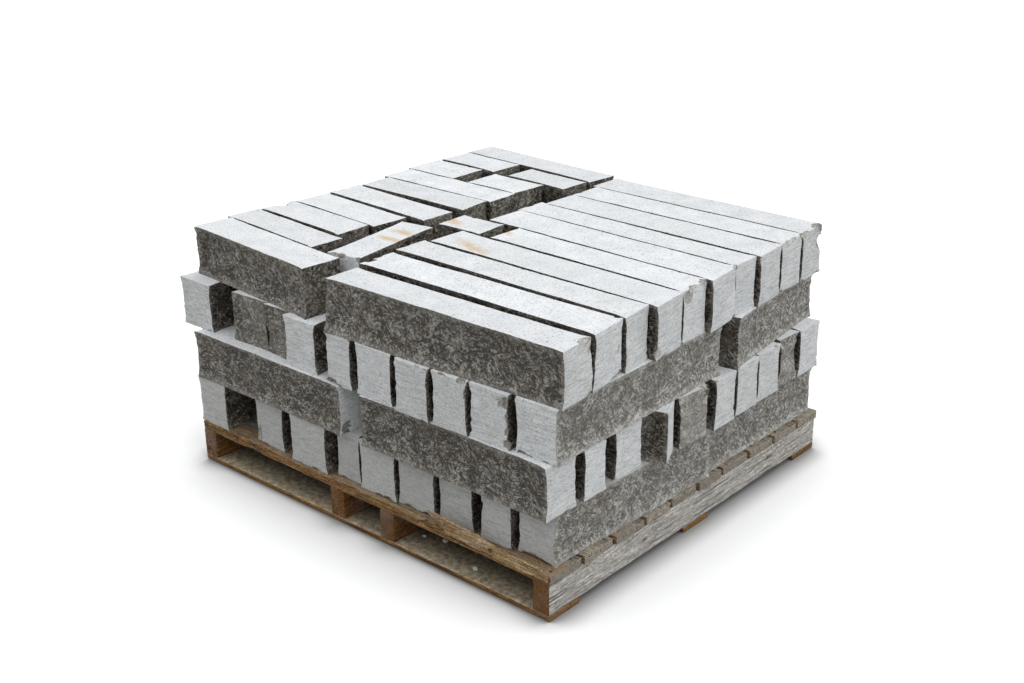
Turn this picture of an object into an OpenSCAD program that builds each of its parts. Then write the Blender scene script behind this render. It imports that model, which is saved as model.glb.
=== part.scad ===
// Pallet of sawn wall stone
//
// Blocks of building stone, sawn on their beds and ends and split along both
// long sides, stacked four courses high on a timber stringer pallet.
// The courses alternate: stones of the first and third lie along the pallet's
// stringers, stones of the second and top lie along its boards.
//
// Origin: the middle of the pallet, on the floor. X runs along the deck boards,
// Y along the stringers and fork pockets, with the front at -Y, and Z up.
// Millimetres.

/* [Pallet] */
// Length of the deck and bottom boards
pallet_w = 1220; // [1000:10:1400]
// Length of the stringers
pallet_d = 1120; // [900:10:1300]
// Thickness of a stringer
stringer_t = 48; // [36:1:60]
// Height of a stringer, standing on edge
stringer_h = 76; // [60:1:110]
// Clear width between the two middle stringers
middle_gap = 128; // [60:2:200]
// How far right of centre the middle pair of stringers is nailed
middle_offset = 14; // [-40:1:40]
// Thickness of the deck boards
deck_t = 23; // [16:1:32]
// Nominal width of a deck board
deck_board_w = 102; // [80:1:140]
// Nominal gap between neighbouring deck boards
deck_gap = 10; // [6:1:40]
// Thickness of the bottom boards
bottom_t = 16; // [12:1:25]
// Width of a bottom board
bottom_board_w = 108; // [80:1:140]
// Worn rounding along the lower edges of a bottom board
bottom_edge_r = 10; // [2:1:12]

/* [Stones] */
// Height of every course, the sawn height of the stones
course_h = 130; // [90:1:180]
// Nominal width of a stone between its two split sides
stone_w = 100; // [80:1:130]
// Nominal joint between stones lying side by side along the boards
cross_joint = 10; // [6:1:20]
// Nominal joint between stones lying side by side along the stringers
long_joint = 22; // [16:1:40]
// Least joint between stones lying end to end
end_joint = 4; // [3:1:30]
// Depth of the hollows on the split sides
split_depth = 9; // [3:1:14]
// Length of one facet on the split sides
split_facet = 85; // [50:5:200]
// Depth of the hollows on a broken end
broken_depth = 16; // [4:1:24]

/* [Courses] */
// Length of the front stones of the bottom course
bottom_front_len = 568; // [450:1:650]
// Length of the right-hand stones of the second course
second_right_len = 573; // [450:1:620]
// Width of the filler stones down the middle of the second course
filler_w = 62; // [50:1:110]
// Clear joint on each side of those fillers
filler_joint = 7; // [3:1:20]
// Length of the front stones of the third course
third_front_len = 618; // [480:1:680]
// How far the last stone of the third course swings out of its row
swing_out = 52; // [0:1:60]
// Length of the right-hand stones of the top course
top_right_len = 705; // [560:1:760]
// Length of the short piece in the middle of the top course
short_piece_len = 150; // [80:1:160]
// Turn of the stone that lies along the stringers in the top course
key_stone_turn = 8; // [0:1:12]

/* [Hidden] */
WOOD_DECK = "#a88a5e";
WOOD_STRINGER = "#b0946c";
WOOD_RIGHT = "#b5aca4";
WOOD_BOTTOM = "#6e5b47";
STONE = "#c9cccb";

// ---- Lists that vary the pieces, repeated as often as there are rows ----

// Deck boards: width over or under the nominal, front to back
deck_board_dw = [8, 0, 3, -6, -1, -6, 9, 2, 5, -5];

// Bottom course, left to right: width over nominal, joint after it in long
// joints, and how far the front end stands back from the pallet's edge
bottom_dw = [10, 5, 30, -18, 19, 18, 5, -9, 6];
bottom_joint = [5, 2.1, 1, 0.5, 0.3, 0.2, 1.4, 0.6];
bottom_setback = [5, 18, 7, 26, 18, 24, 36, 30, 41];

// Second course, front to back: width over nominal, joint behind it in cross
// joints, and how far the right end stands proud of the pallet
second_dw = [-2, -27, -3, -2, 9, -16, -6, -2, -15, -5];
second_joint = [2.8, 4.7, 1.2, 1.5, 2.7, 1.6, 0.9, 1.9, 0.7];
second_proud = [-7, -5, -14, -8, 18, 12, 7, 3, 3, -3];

// Third course, left to right, as for the bottom course
third_dw = [21, 28, -13, 11, -17, 14, 2, 2, 9, 13];
third_joint = [3.8, 0.2, 0.4, 2.4, 1, 1, 0.5, 0.3, 0.7];
third_setback = [25, 24, 21, 14, 5, 5, -3, 3, 9, 17];

// Top course, right-hand stones, front to back: width over nominal, joint
// behind, right end proud of the pallet, length over nominal, turn, and how
// much shorter the back side is because the right end was sawn askew
right_dw = [-3, 8, -5, 10, 3, 18, -9, 12, 3, 5];
right_joint = [1.9, 0.9, 0.3, 0.3, 0.2, 0.3, 0.6, 0.5, 0.2];
right_proud = [17, 9, -1, 11, -1, 8, -10, 0, -12, -14];
right_dl = [5, 15, 15, 10, -100, 15, 0, -10, -25, -15];
right_turn = [0.5, 0, -1, -1.5, -2.1, -2.2, -2.1, -1.7, -1.4, -1.4];
right_skew = [8, 15, 14, 15, 12, 18, 4, 15, 8, 10];

// Top course, left-hand stones: width over nominal, joint behind, left end
// proud of the pallet, space left before the right-hand stones, and turn
left_dw = [11, -4, 5, 8, 3, 3, 5, 26, 10, -2];
left_joint = [0.3, 0.7, 0.2, 1.2, 0.8, 0.3, 0.3, 1.6, 0.5];
left_proud = [50, 54, 41, 25, 21, 8, 26, 36, 31, 30];
left_space = [82, 173, 193, 190, 217, 110, 95, 120, 43, 20];
left_turn = [-5.2, -5.2, -4.3, -4.4, -4, -0.4, -0.6, -0.8, -3.6, -4.3];

// ---- Derived values ----

left_edge = -pallet_w / 2;
right_edge = pallet_w / 2;
front_edge = -pallet_d / 2;
back_edge = pallet_d / 2;
deck_z = bottom_t + stringer_h;
load_z = deck_z + deck_t;

deck_count = floor((pallet_d + deck_gap) / (deck_board_w + deck_gap));
cross_rows = floor((pallet_d + cross_joint) / (stone_w + cross_joint));
long_rows = floor((pallet_w + long_joint) / (stone_w + long_joint));
// the bottom course leaves out one row, in the wide gap beside its first stone
bottom_rows = long_rows - 1;

// Where each course's first row begins, from the pallet's left or front edge
bottom_start = -6;
second_start = 0;
third_start = -70;
right_start = 26;
left_start = 71;

// Most that the hidden back and left ends of the stones stray from a line, how
// far that line lies inside the pallet's back edge, and outside its left edge
end_stray = 9;
back_setback = 12;
left_overhang = 3;
// The same stray for the widths of the back stones
width_stray = 4;
// How far the bottom and third course's back stones keep inside the pallet's sides
back_inset = 8;
// Most that a deck board's ends overhang the stringers
board_overhang = 6;
// The small stone lying askew at the right end of the second course
askew_row = 3;
askew_len = 85;
askew_turn = 25;
askew_proud = 28;
askew_back = 30;
// What it lacks of its row's width, and the room it takes of the row's length
askew_narrower = 23;
askew_room = 120;
// The third course's swung stone: how far its front end lies outside its row,
// its extra end joint, and what it lacks of the nominal width
swing_start = 36;
swing_joint = 29;
swing_narrower = 18;
// How far the fillers stop short of the second course's front and back
filler_front_recess = 70;
filler_back_recess = 25;
// Which rows of the second and third course have a stone with a broken end
second_broken = [4, 8];
third_broken = [1, 2];
// Rows of the top course with two half stones on the left, the gap between the
// halves, and what the right-hand half lacks of the width
halved_rows = [7, 8];
half_gap = 50;
half_narrower = 12;
// How far the foot of the front stone of the top course runs out forward
front_foot = 18;
// How far the last front stones of the bottom and third course are turned
bottom_last_turn = -1.6;
third_last_turn = 1;
// The short piece: its row, how far it lies back in it, and its turn
short_row = 4;
short_back = 22;
short_turn = 1;
// What loose pieces lack of the nominal width
loose_narrower = 2;
// Joint at each end of the stone lying along the stringers in the top course
key_joint = 14;
// How far that stone lies right of the middle of its space
key_offset = 10;

// Rows of facets on a split side, and the share of the hollows' depth that is
// left along its sawn edges, top and bottom, and at its ends
split_rows = 3;
edge_calm = 0.35;

// ---- Functions ----

// Entry i of a list that repeats
function pick(list, i) = list[i % len(list)];

// Sum of the first n entries of a list that repeats
function sum(list, n) = n <= 0 ? 0 : pick(list, n - 1) + sum(list, n - 1);

// Width of stone i of a course
function row_w(dw, i) = stone_w + pick(dw, i);

// Where row i of a course begins, measured across the rows
function row_at(start, dw, joints, joint, i) =
    start + i * stone_w + sum(dw, i) + joint * sum(joints, i);

// True if a list of rows holds row i
function has(rows, i) = len(search(i, rows)) > 0;

// A small chance deviation of up to +-reach, the same at every build
function stray(reach, seed) = rands(-reach, reach, 1, seed)[0];

// Left side of back stone i of a course whose back stones share out the width
function back_x(rows, i) =
    left_edge + back_inset + i * (pallet_w - 2 * back_inset - stone_w) / (rows - 1);

// Left side of row i of the bottom and third courses
function bottom_x(i) = left_edge + row_at(bottom_start, bottom_dw, bottom_joint, long_joint, i);
function third_x(i) = left_edge + row_at(third_start, third_dw, third_joint, long_joint, i);

// Front side of row i of the second course and of the top course's two halves
function second_y(i) = front_edge + row_at(second_start, second_dw, second_joint, cross_joint, i);
function right_y(i) = front_edge + row_at(right_start, right_dw, right_joint, cross_joint, i);
function left_y(i) = front_edge + row_at(left_start, left_dw, left_joint, cross_joint, i);

// Left ends of the second course's right-hand stones, and of the fillers
function second_right_x() = right_edge + second_proud[0] - second_right_len;
function filler_x() = second_right_x() - filler_joint - filler_w;

// Left ends of the top course's right-hand stones
function right_len(i) = top_right_len + pick(right_dl, i);
function right_x(i) = right_edge + pick(right_proud, i) - right_len(i);

// ---- One stone ----

// A block with sawn top, bottom and ends and two split sides. It lies along X
// with its front left bottom corner at the origin. The split sides are nets of
// flat facets whose corners lie up to split_depth inside the block, less along
// the sawn edges. broken = [left, right] is the depth of hollows on an end
// that was broken and not sawn. foot is how far the front side's lower left
// corner runs out forward, easing to nothing at the top and at the right end.
// skew is how much shorter than the front the back side is at the right end.
module stone(length, width, seed, broken = [0, 0], foot = 0, skew = 0) {
    columns = max(2, round(length / split_facet));
    per_side = (columns + 1) * (split_rows + 1);
    hollow = rands(0, 1, 2 * per_side, seed);
    shift = rands(-0.3, 0.3, 2 * per_side, seed + 1);
    end_hollow = rands(0, 1, 4 * (split_rows + 1), seed + 2);

    function id(side, i, j) = side * per_side + i * (split_rows + 1) + j;
    function at_edge(j) = j == 0 || j == split_rows;
    // how deep a corner of the net lies behind the side's outermost plane
    function calm(i, j) = (at_edge(j) ? edge_calm : 1) * (i == 0 || i == columns ? edge_calm : 1);
    function inset(side, i, j) = split_depth * hollow[id(side, i, j)] * calm(i, j);
    function front_y(i, j) =
        inset(0, i, j) - foot * (1 - pow(i / columns, 2)) * (1 - j / split_rows);
    // how far a corner on a broken end lies inside that end
    function end_inset(side, i, j) =
        i == 0 ? broken[0] * end_hollow[2 * j + side]
        : i == columns ? -broken[1] * end_hollow[2 * (split_rows + 1) + 2 * j + side] - side * skew
        : shift[id(side, i, j)] * length / columns;
    function level(side, i, j) =
        at_edge(j) || i == 0 || i == columns ? j
        : j + 0.8 * shift[id(1 - side, i, j)];

    points = [
        for (side = [0, 1], i = [0:columns], j = [0:split_rows]) [
            i * length / columns + end_inset(side, i, j),
            side == 0 ? front_y(i, j) : width - inset(side, i, j),
            level(side, i, j) * course_h / split_rows
        ]
    ];

    // each face of the net is two triangles
    function square(a, b, c, d) = [[a, b, c], [a, c, d]];
    front = [for (i = [0:columns - 1], j = [0:split_rows - 1])
        each square(id(0, i, j), id(0, i, j + 1), id(0, i + 1, j + 1), id(0, i + 1, j))];
    back = [for (i = [0:columns - 1], j = [0:split_rows - 1])
        each square(id(1, i, j), id(1, i + 1, j), id(1, i + 1, j + 1), id(1, i, j + 1))];
    top = [for (i = [0:columns - 1], j = [split_rows])
        each square(id(0, i, j), id(1, i, j), id(1, i + 1, j), id(0, i + 1, j))];
    bottom = [for (i = [0:columns - 1])
        each square(id(0, i, 0), id(0, i + 1, 0), id(1, i + 1, 0), id(1, i, 0))];
    left = [for (j = [0:split_rows - 1])
        each square(id(0, 0, j), id(1, 0, j), id(1, 0, j + 1), id(0, 0, j + 1))];
    right = [for (j = [0:split_rows - 1], i = [columns])
        each square(id(0, i, j), id(0, i, j + 1), id(1, i, j + 1), id(1, i, j))];

    polyhedron(points, concat(front, back, top, bottom, left, right));
}

// Puts a stone down on a course, along the boards, by its front left corner
module stone_across(x, y, course, length, width, seed, turn = 0, broken = [0, 0]) {
    translate([x, y, load_z + (course - 1) * course_h])
        rotate(turn)
            stone(length, width, seed, broken);
}

// The same by its front right corner
module stone_across_right(x, y, course, length, width, seed, turn = 0, broken = [0, 0],
        foot = 0, skew = 0) {
    translate([x, y, load_z + (course - 1) * course_h])
        rotate(turn)
            translate([-length, 0, 0])
                stone(length, width, seed, broken, foot, skew);
}

// Puts a stone down along the stringers, by its front left corner
module stone_along(x, y, course, length, width, seed, turn = 0, broken = [0, 0]) {
    translate([x, y, load_z + (course - 1) * course_h])
        rotate(90 + turn)
            translate([0, -width, 0])
                stone(length, width, seed, broken);
}

// ---- The courses ----

// One row of the bottom course: a front and a back stone, end to end
module bottom_course_row(i) {
    seed = 1000 + 10 * i;
    turn = i == bottom_rows - 1 ? bottom_last_turn : 0;
    back_y = front_edge + max(bottom_setback) + bottom_front_len + end_joint;
    back_end = back_edge - back_setback + stray(end_stray, seed + 4);
    color(STONE) {
        stone_along(bottom_x(i), front_edge + pick(bottom_setback, i), 1, bottom_front_len,
            row_w(bottom_dw, i), seed, turn = turn);
        stone_along(back_x(bottom_rows, i), back_y, 1, back_end - back_y,
            stone_w + stray(width_stray, seed + 6), seed + 5);
    }
}

// One row of the second course: a right-hand and a left-hand stone, with the
// fillers between them. The fourth row ends in a small piece lying askew.
module second_course_row(i) {
    seed = 2000 + 10 * i;
    width = row_w(second_dw, i);
    askew = i == askew_row;
    right_end = right_edge + pick(second_proud, i) - (askew ? askew_room : 0);
    left_x = left_edge - left_overhang + stray(end_stray, seed + 8);
    left_end = filler_x() - filler_joint;
    broken_end = has(second_broken, i) ? broken_depth : 0;
    color(STONE) {
        stone_across_right(right_end, second_y(i), 2, right_end - second_right_x(), width, seed,
            broken = [0, broken_end]);
        stone_across(left_x, second_y(i), 2, left_end - left_x, width, seed + 5);
        if (askew)
            stone_across_right(right_edge + askew_proud, second_y(i) + askew_back, 2, askew_len,
                width - askew_narrower, seed + 3, turn = askew_turn);
    }
}

// Two stones laid end to end down the middle of the second course
module second_course_fillers() {
    last = cross_rows - 1;
    start_y = front_edge + filler_front_recess;
    end_y = second_y(last) + row_w(second_dw, last) - filler_back_recess;
    length = (end_y - start_y - filler_joint) / 2;
    color(STONE)
        for (k = [0, 1])
            stone_along(filler_x(), start_y + k * (length + filler_joint), 2, length, filler_w,
                2500 + k);
}

// One row of the third course: a front and a back stone, end to end. The last
// row's back stone has swung out of line.
module third_course_row(i) {
    seed = 3000 + 10 * i;
    width = row_w(third_dw, i);
    swung = i == long_rows - 1;
    back_y = front_edge + max(third_setback) + third_front_len + end_joint
        + (swung ? swing_joint : 0);
    back_len = back_edge - back_setback + stray(end_stray, seed + 4) - back_y;
    swing = swung ? atan(swing_out / back_len) : 0;
    broken_end = has(third_broken, i) ? broken_depth : 0;
    color(STONE) {
        stone_along(third_x(i), front_edge + pick(third_setback, i), 3, third_front_len, width,
            seed, turn = swung ? third_last_turn : 0, broken = [broken_end, 0]);
        stone_along(swung ? third_x(i) + swing_start : back_x(long_rows, i), back_y, 3, back_len,
            stone_w - (swung ? swing_narrower : width_stray + stray(width_stray, seed + 6)), seed + 5,
            turn = swing, broken = [swung ? broken_depth : 0, 0]);
    }
}

// One row of the top course: a right-hand stone, and on the left one stone or
// two half ones, all with broken right ends
module top_course_row(i) {
    seed = 4000 + 10 * i;
    left_x = left_edge - pick(left_proud, i);
    left_len = right_x(i) - pick(left_space, i) - left_x;
    halved = has(halved_rows, i);
    half_len = (left_len - half_gap) / 2;
    width = row_w(left_dw, i);
    turn = pick(left_turn, i);
    color(STONE) {
        stone_across_right(right_x(i) + right_len(i), right_y(i), 4, right_len(i),
            row_w(right_dw, i), seed, turn = pick(right_turn, i), foot = i == 0 ? front_foot : 0,
            skew = pick(right_skew, i));
        stone_across(left_x, left_y(i), 4, halved ? half_len : left_len, width, seed + 5,
            turn = turn, broken = [0, broken_depth]);
        if (halved)
            translate([left_x, left_y(i), 0])
                rotate(turn)
                    stone_across(half_len + half_gap, 0, 4, half_len, width - half_narrower,
                        seed + 8, broken = [0, broken_depth]);
    }
}

// The short broken piece that fills a row between its two stones
module top_course_short_piece() {
    x = right_x(short_row) - pick(left_space, short_row) / 2 - short_piece_len / 2;
    color(STONE)
        stone_across(x, right_y(short_row) + short_back, 4, short_piece_len,
            stone_w - loose_narrower, 4500, turn = short_turn, broken = [0, broken_depth]);
}

// The stone lying along the stringers, askew, in the wide space of rows 2 to 4
module top_course_key_stone() {
    front = right_y(1);
    back = right_y(3) + row_w(right_dw, 3);
    length = back - front - 2 * key_joint;
    width = stone_w - loose_narrower;
    x = right_x(2) - pick(left_space, 2) / 2 + key_offset;
    color(STONE)
        translate([x, (front + back) / 2, 0])
            rotate(key_stone_turn)
                stone_along(-width / 2, -length / 2, 4, length, width, 4600);
}

// ---- The pallet ----

// A stringer standing on edge, by its left side
module stringer(x, shade) {
    color(shade)
        translate([x, front_edge, bottom_t])
            cube([stringer_t, pallet_d, stringer_h]);
}

module stringer_left() {
    stringer(left_edge, WOOD_STRINGER);
}

module stringer_middle_left() {
    stringer(middle_offset - middle_gap / 2 - stringer_t, WOOD_STRINGER);
}

module stringer_middle_right() {
    stringer(middle_offset + middle_gap / 2, WOOD_STRINGER);
}

module stringer_right() {
    stringer(right_edge - stringer_t, WOOD_RIGHT);
}

// Deck boards share out what is left of the depth as equal gaps
function deck_w(i) = deck_board_w + pick(deck_board_dw, i);
function deck_y(i) =
    front_edge + i * deck_board_w + sum(deck_board_dw, i)
    + i * (pallet_d - deck_count * deck_board_w - sum(deck_board_dw, deck_count)) / (deck_count - 1);

module deck_board(i) {
    overhang = board_overhang / 2 * (1 + stray(1, 50 + i));
    color(WOOD_DECK)
        translate([left_edge - overhang, deck_y(i), deck_z])
            cube([pallet_w + 2 * overhang, deck_w(i), deck_t]);
}

// A bottom board across all stringers, its lower edges worn round
module bottom_board(y) {
    r = bottom_edge_r;
    color(WOOD_BOTTOM)
        translate([left_edge, y, 0])
            rotate([90, 0, 90])
                linear_extrude(pallet_w)
                    intersection() {
                        square([bottom_board_w, bottom_t]);
                        union() {
                            translate([0, r])
                                square([bottom_board_w, bottom_t]);
                            translate([r, 0])
                                square([bottom_board_w - 2 * r, bottom_t]);
                            for (u = [r, bottom_board_w - r])
                                translate([u, r])
                                    circle(r, $fn = 24);
                        }
                    }
}

module bottom_board_front() {
    bottom_board(front_edge);
}

module bottom_board_middle() {
    bottom_board(-bottom_board_w / 2);
}

module bottom_board_back() {
    bottom_board(back_edge - bottom_board_w);
}

// ---- What is drawn ----

stringer_left();
stringer_middle_left();
stringer_middle_right();
stringer_right();
bottom_board_front();
bottom_board_middle();
bottom_board_back();
for (i = [1:deck_count])
    deck_board(i - 1);
for (i = [1:bottom_rows])
    bottom_course_row(i - 1);
for (i = [1:cross_rows])
    second_course_row(i - 1);
second_course_fillers();
for (i = [1:long_rows])
    third_course_row(i - 1);
for (i = [1:cross_rows])
    top_course_row(i - 1);
top_course_short_piece();
top_course_key_stone();
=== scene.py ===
# %% [markdown]
# # A pallet of sawn wall stone
#
# The object is a timber pallet with four crossed courses of building stone. Each stone is
# sawn on its top, bottom and ends, and split with a wedge along both sides.
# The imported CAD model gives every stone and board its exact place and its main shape. This
# script reads those solids and builds a finer skin over each one, so the stack keeps its
# measured shape and gains what a saw, a wedge and years outdoors leave on it.

import math

import bmesh
import bpy
import numpy as np
from mathutils import Matrix, Vector


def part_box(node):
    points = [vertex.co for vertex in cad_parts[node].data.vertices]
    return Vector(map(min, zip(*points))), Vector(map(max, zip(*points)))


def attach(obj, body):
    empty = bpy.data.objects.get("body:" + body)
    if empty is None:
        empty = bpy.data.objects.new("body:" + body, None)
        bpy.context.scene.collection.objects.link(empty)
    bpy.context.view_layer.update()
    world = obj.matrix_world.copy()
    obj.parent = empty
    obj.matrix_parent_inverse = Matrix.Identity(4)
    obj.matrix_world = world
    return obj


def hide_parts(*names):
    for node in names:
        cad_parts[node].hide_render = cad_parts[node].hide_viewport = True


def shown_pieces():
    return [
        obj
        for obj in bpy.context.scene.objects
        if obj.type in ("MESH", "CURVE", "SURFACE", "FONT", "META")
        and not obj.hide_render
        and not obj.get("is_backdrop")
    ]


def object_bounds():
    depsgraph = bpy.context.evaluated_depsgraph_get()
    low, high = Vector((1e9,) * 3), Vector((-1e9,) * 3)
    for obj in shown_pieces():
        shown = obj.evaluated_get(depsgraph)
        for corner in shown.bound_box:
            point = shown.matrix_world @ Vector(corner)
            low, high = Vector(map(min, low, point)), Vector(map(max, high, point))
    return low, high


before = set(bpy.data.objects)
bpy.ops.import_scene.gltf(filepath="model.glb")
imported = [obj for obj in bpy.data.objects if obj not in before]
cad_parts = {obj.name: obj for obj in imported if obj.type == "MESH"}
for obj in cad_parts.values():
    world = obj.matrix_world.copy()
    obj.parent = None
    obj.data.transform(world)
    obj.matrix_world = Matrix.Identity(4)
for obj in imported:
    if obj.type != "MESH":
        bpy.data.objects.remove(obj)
cad_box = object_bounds()
print("nodes:", len(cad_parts), "box:", cad_box)

# %% [markdown]
# ## The camera
#
# The pallet is seen from the right of its front, from about head height and close enough for
# clear perspective. The lens is a short portrait one. The camera is aimed with a
# track quaternion, then rolled by less than a degree, as a hand-held one is.

# %% Camera
LENS_MM = 47.76
EYE = Vector((2.229, -2.476, 1.679))
AIM = Vector((-0.022, 0.036, 0.312))
ROLL = math.radians(-0.75)

camera = bpy.data.objects.new("camera", bpy.data.cameras.new("camera"))
bpy.context.collection.objects.link(camera)
camera.data.lens = LENS_MM
camera.data.sensor_width = 36
turn = (AIM - EYE).to_track_quat("-Z", "Y").to_matrix() @ Matrix.Rotation(ROLL, 3, "Z")
camera.matrix_world = Matrix.Translation(EYE) @ turn.to_4x4()
bpy.context.scene.camera = camera
print("camera is", round((AIM - EYE).length, 2), "m from the middle of the stack")

# %% [markdown]
# ## Colours and node trees
#
# The sky, the floor and every surface below are node trees, and one function makes every node
# in them. An input is a number, a colour, an output of another node, or just that node, which
# stands for its first output. Colours are written as on a paint card, in sRGB hex, and
# `linear` turns them into the linear light that a renderer works in. The sizes of patterns
# are written in millimetres of the real thing.


# %% Colours and nodes
MM = 0.001


def linear(hex_colour):
    """An sRGB hex colour as linear red, green, blue and alpha."""
    parts = [int(hex_colour[i : i + 2], 16) / 255 for i in (1, 3, 5)]
    light = (c / 12.92 if c <= 0.04045 else ((c + 0.055) / 1.055) ** 2.4 for c in parts)
    return (*light, 1.0)


def add(tree, kind, inputs=(), **settings):
    """Adds one node to a tree, gives it settings, and links or sets its inputs."""
    made = tree.nodes.new("ShaderNode" + kind)
    for name, value in settings.items():
        setattr(made, name, value)
    for name, value in dict(inputs).items():
        if isinstance(value, bpy.types.Node):
            value = value.outputs[0]
        if isinstance(value, bpy.types.NodeSocket):
            tree.links.new(value, made.inputs[name])
        else:
            made.inputs[name].default_value = linear(value) if isinstance(value, str) else value
    return made


def new_material(name):
    """A material and its empty node tree."""
    material = bpy.data.materials.new(name)
    material.use_nodes = True
    material.node_tree.nodes.clear()
    return material, material.node_tree


print("the mid grey of a paint card is", round(linear("#808080")[0], 3), "in linear light")

# %% [markdown]
# ## Light
#
# Rough stone shows best under an overcast sky: bright tops, softer sides and no hard shadow.
# Such a sky is several times as bright overhead as at the horizon, and a gradient over the
# world's up direction gives just that. One wide, low sun stands for the brighter part of the
# sky on the right, so the right side comes out lighter than the front.

# %% Sky and sun
OVERHEAD, HORIZON = 1.53, 0.20
SUN_STRENGTH, SUN_WIDTH = 0.66, math.radians(60)
SUN_WAY = Vector((-1.0, -0.1, -0.5))

world = bpy.data.worlds.new("overcast sky")
bpy.context.scene.world = world
world.use_nodes = True


def seen_directly(tree):
    """1 for rays that show a surface straight, by reflection or through glass, else 0."""
    path = add(tree, "LightPath").outputs
    shown = {0: path["Is Camera Ray"], 1: path["Is Glossy Ray"]}
    either = add(tree, "Math", shown, operation="MAXIMUM")
    return add(tree, "Math", {0: either, 1: path["Is Transmission Ray"]}, operation="MAXIMUM")


tree = world.node_tree
tree.nodes.clear()
way = add(tree, "SeparateXYZ", {0: add(tree, "TexCoord").outputs["Generated"]})
rise = add(tree, "MapRange", {"Value": way.outputs["Z"], "To Min": HORIZON, "To Max": OVERHEAD})
sky = add(tree, "Background", {"Color": "#FDFEFF", "Strength": rise})
backdrop = add(tree, "Background", {"Color": "#FFFFFF", "Strength": 1.0})
shown_sky = add(tree, "MixShader", {0: seen_directly(tree), 1: sky, 2: backdrop})
add(tree, "OutputWorld", {"Surface": shown_sky})

sun = bpy.data.objects.new("sun through cloud", bpy.data.lights.new("sun through cloud", "SUN"))
bpy.context.collection.objects.link(sun)
sun.data.energy = SUN_STRENGTH
sun.data.angle = SUN_WIDTH
sun.rotation_mode = "QUATERNION"
sun.rotation_quaternion = SUN_WAY.to_track_quat("-Z", "Y")
bpy.context.scene.view_settings.view_transform = "Standard"
print("sky", OVERHEAD, "overhead,", HORIZON, "at the horizon, sun", SUN_STRENGTH)

# %% [markdown]
# ## The floor
#
# The floor is a pale sheet. For light that bounces it is a mid grey, as the gravel of a stone
# yard is, so the undersides stay dark. Seen straight it is near white and also glows a little,
# which takes the last grey out of it away from the pallet. How open the sheet lies to the sky
# guides both, and both paint the pallet's shadow onto it: close to the pallet the glow dies out,
# and where the two touch, the sheet's colour is painted darker. That painted shadow is soft,
# with a firm dark line at its root.

# %% Floor
FLOOR_HALF = 30.0
GLOW, GLOW_CLEARS_AT = 0.22, 0.25
# How far the painted contact shadow reaches, and how dark it paints the floor at its root
PAINTED_SHADOW_REACH, PAINTED_SHADOW_TONE = 0.08, 0.32
floor_mesh = bpy.data.meshes.new("floor")
corners = [(x * FLOOR_HALF, y * FLOOR_HALF, 0) for x, y in ((-1, -1), (1, -1), (1, 1), (-1, 1))]
floor_mesh.from_pydata(corners, [], [(0, 1, 2, 3)])
floor = bpy.data.objects.new("floor", floor_mesh)
bpy.context.collection.objects.link(floor)
floor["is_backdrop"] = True

paper, tree = new_material("pale floor sheet")
direct = seen_directly(tree)
tone = add(tree, "MixRGB", {"Fac": direct, "Color1": "#9A9893", "Color2": "#F6F6F6"})
# painted shadow: the floor's colour is darkened where the pallet stands close
shut = add(tree, "AmbientOcclusion", {"Distance": PAINTED_SHADOW_REACH}).outputs["AO"]
painted_shadow_range = {"Value": shut, "From Min": 0.55, "From Max": 0.97, "To Min": PAINTED_SHADOW_TONE}
painted_contact_shadow = add(tree, "MapRange", painted_shadow_range)
tone_with_painted_shadow = add(tree, "VectorMath", {0: tone, 1: painted_contact_shadow}, operation="MULTIPLY")
matt = add(tree, "BsdfDiffuse", {"Color": tone_with_painted_shadow})
# the glow fades close to the pallet, which paints the wider part of its shadow
openness = add(tree, "AmbientOcclusion", {"Distance": GLOW_CLEARS_AT}).outputs["AO"]
clear = add(tree, "Math", {0: openness, 1: 3.0}, operation="POWER")
shown = add(tree, "Math", {0: direct, 1: GLOW}, operation="MULTIPLY")
glow_strength = add(tree, "Math", {0: shown, 1: clear}, operation="MULTIPLY")
glow = add(tree, "Emission", {"Color": "#FFFFFF", "Strength": glow_strength})
both = add(tree, "AddShader", {0: matt, 1: glow})
add(tree, "OutputMaterial", {"Surface": both})
floor_mesh.materials.append(paper)
print("floor", 2 * FLOOR_HALF, "m wide")

# %% [markdown]
# ## Chance that repeats
#
# Broken stone is irregular, yet the script has to give the same stones each time it runs.
# A hash of whole numbers does both: it looks random, but the same place always gets the same
# number. Two patterns are built on it. `swell` is smooth value noise. `scoops` is made of
# shallow bowls that meet in sharp ridges, which is how a wedge leaves split stone.


# %% Noise functions
def chance(*keys):
    """A fixed number from 0 to 1 for each set of whole-number keys."""
    low_bits = np.uint64(0xFFFFFFFF)
    n = np.zeros(np.broadcast(*keys).shape, np.uint64)
    for key in keys:
        n ^= np.asarray(key).astype(np.int64).astype(np.uint64) & low_bits
        n = n * np.uint64(2654435761) & low_bits
        n ^= n >> np.uint64(15)
        n = n * np.uint64(2246822519) & low_bits
        n ^= n >> np.uint64(13)
    return n.astype(float) / 2**32


def swell(a, b, size, seed):
    """Smooth noise from -1 to 1 over places (a, b), with swells about size apart."""
    a, b = a / size, b / size
    ia, ib = np.floor(a), np.floor(b)
    fa, fb = a - ia, b - ib
    fa, fb = fa * fa * (3 - 2 * fa), fb * fb * (3 - 2 * fb)
    near = chance(ia, ib, seed) * (1 - fa) + chance(ia + 1, ib, seed) * fa
    far = chance(ia, ib + 1, seed) * (1 - fa) + chance(ia + 1, ib + 1, seed) * fa
    return 2 * (near * (1 - fb) + far * fb) - 1


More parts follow.
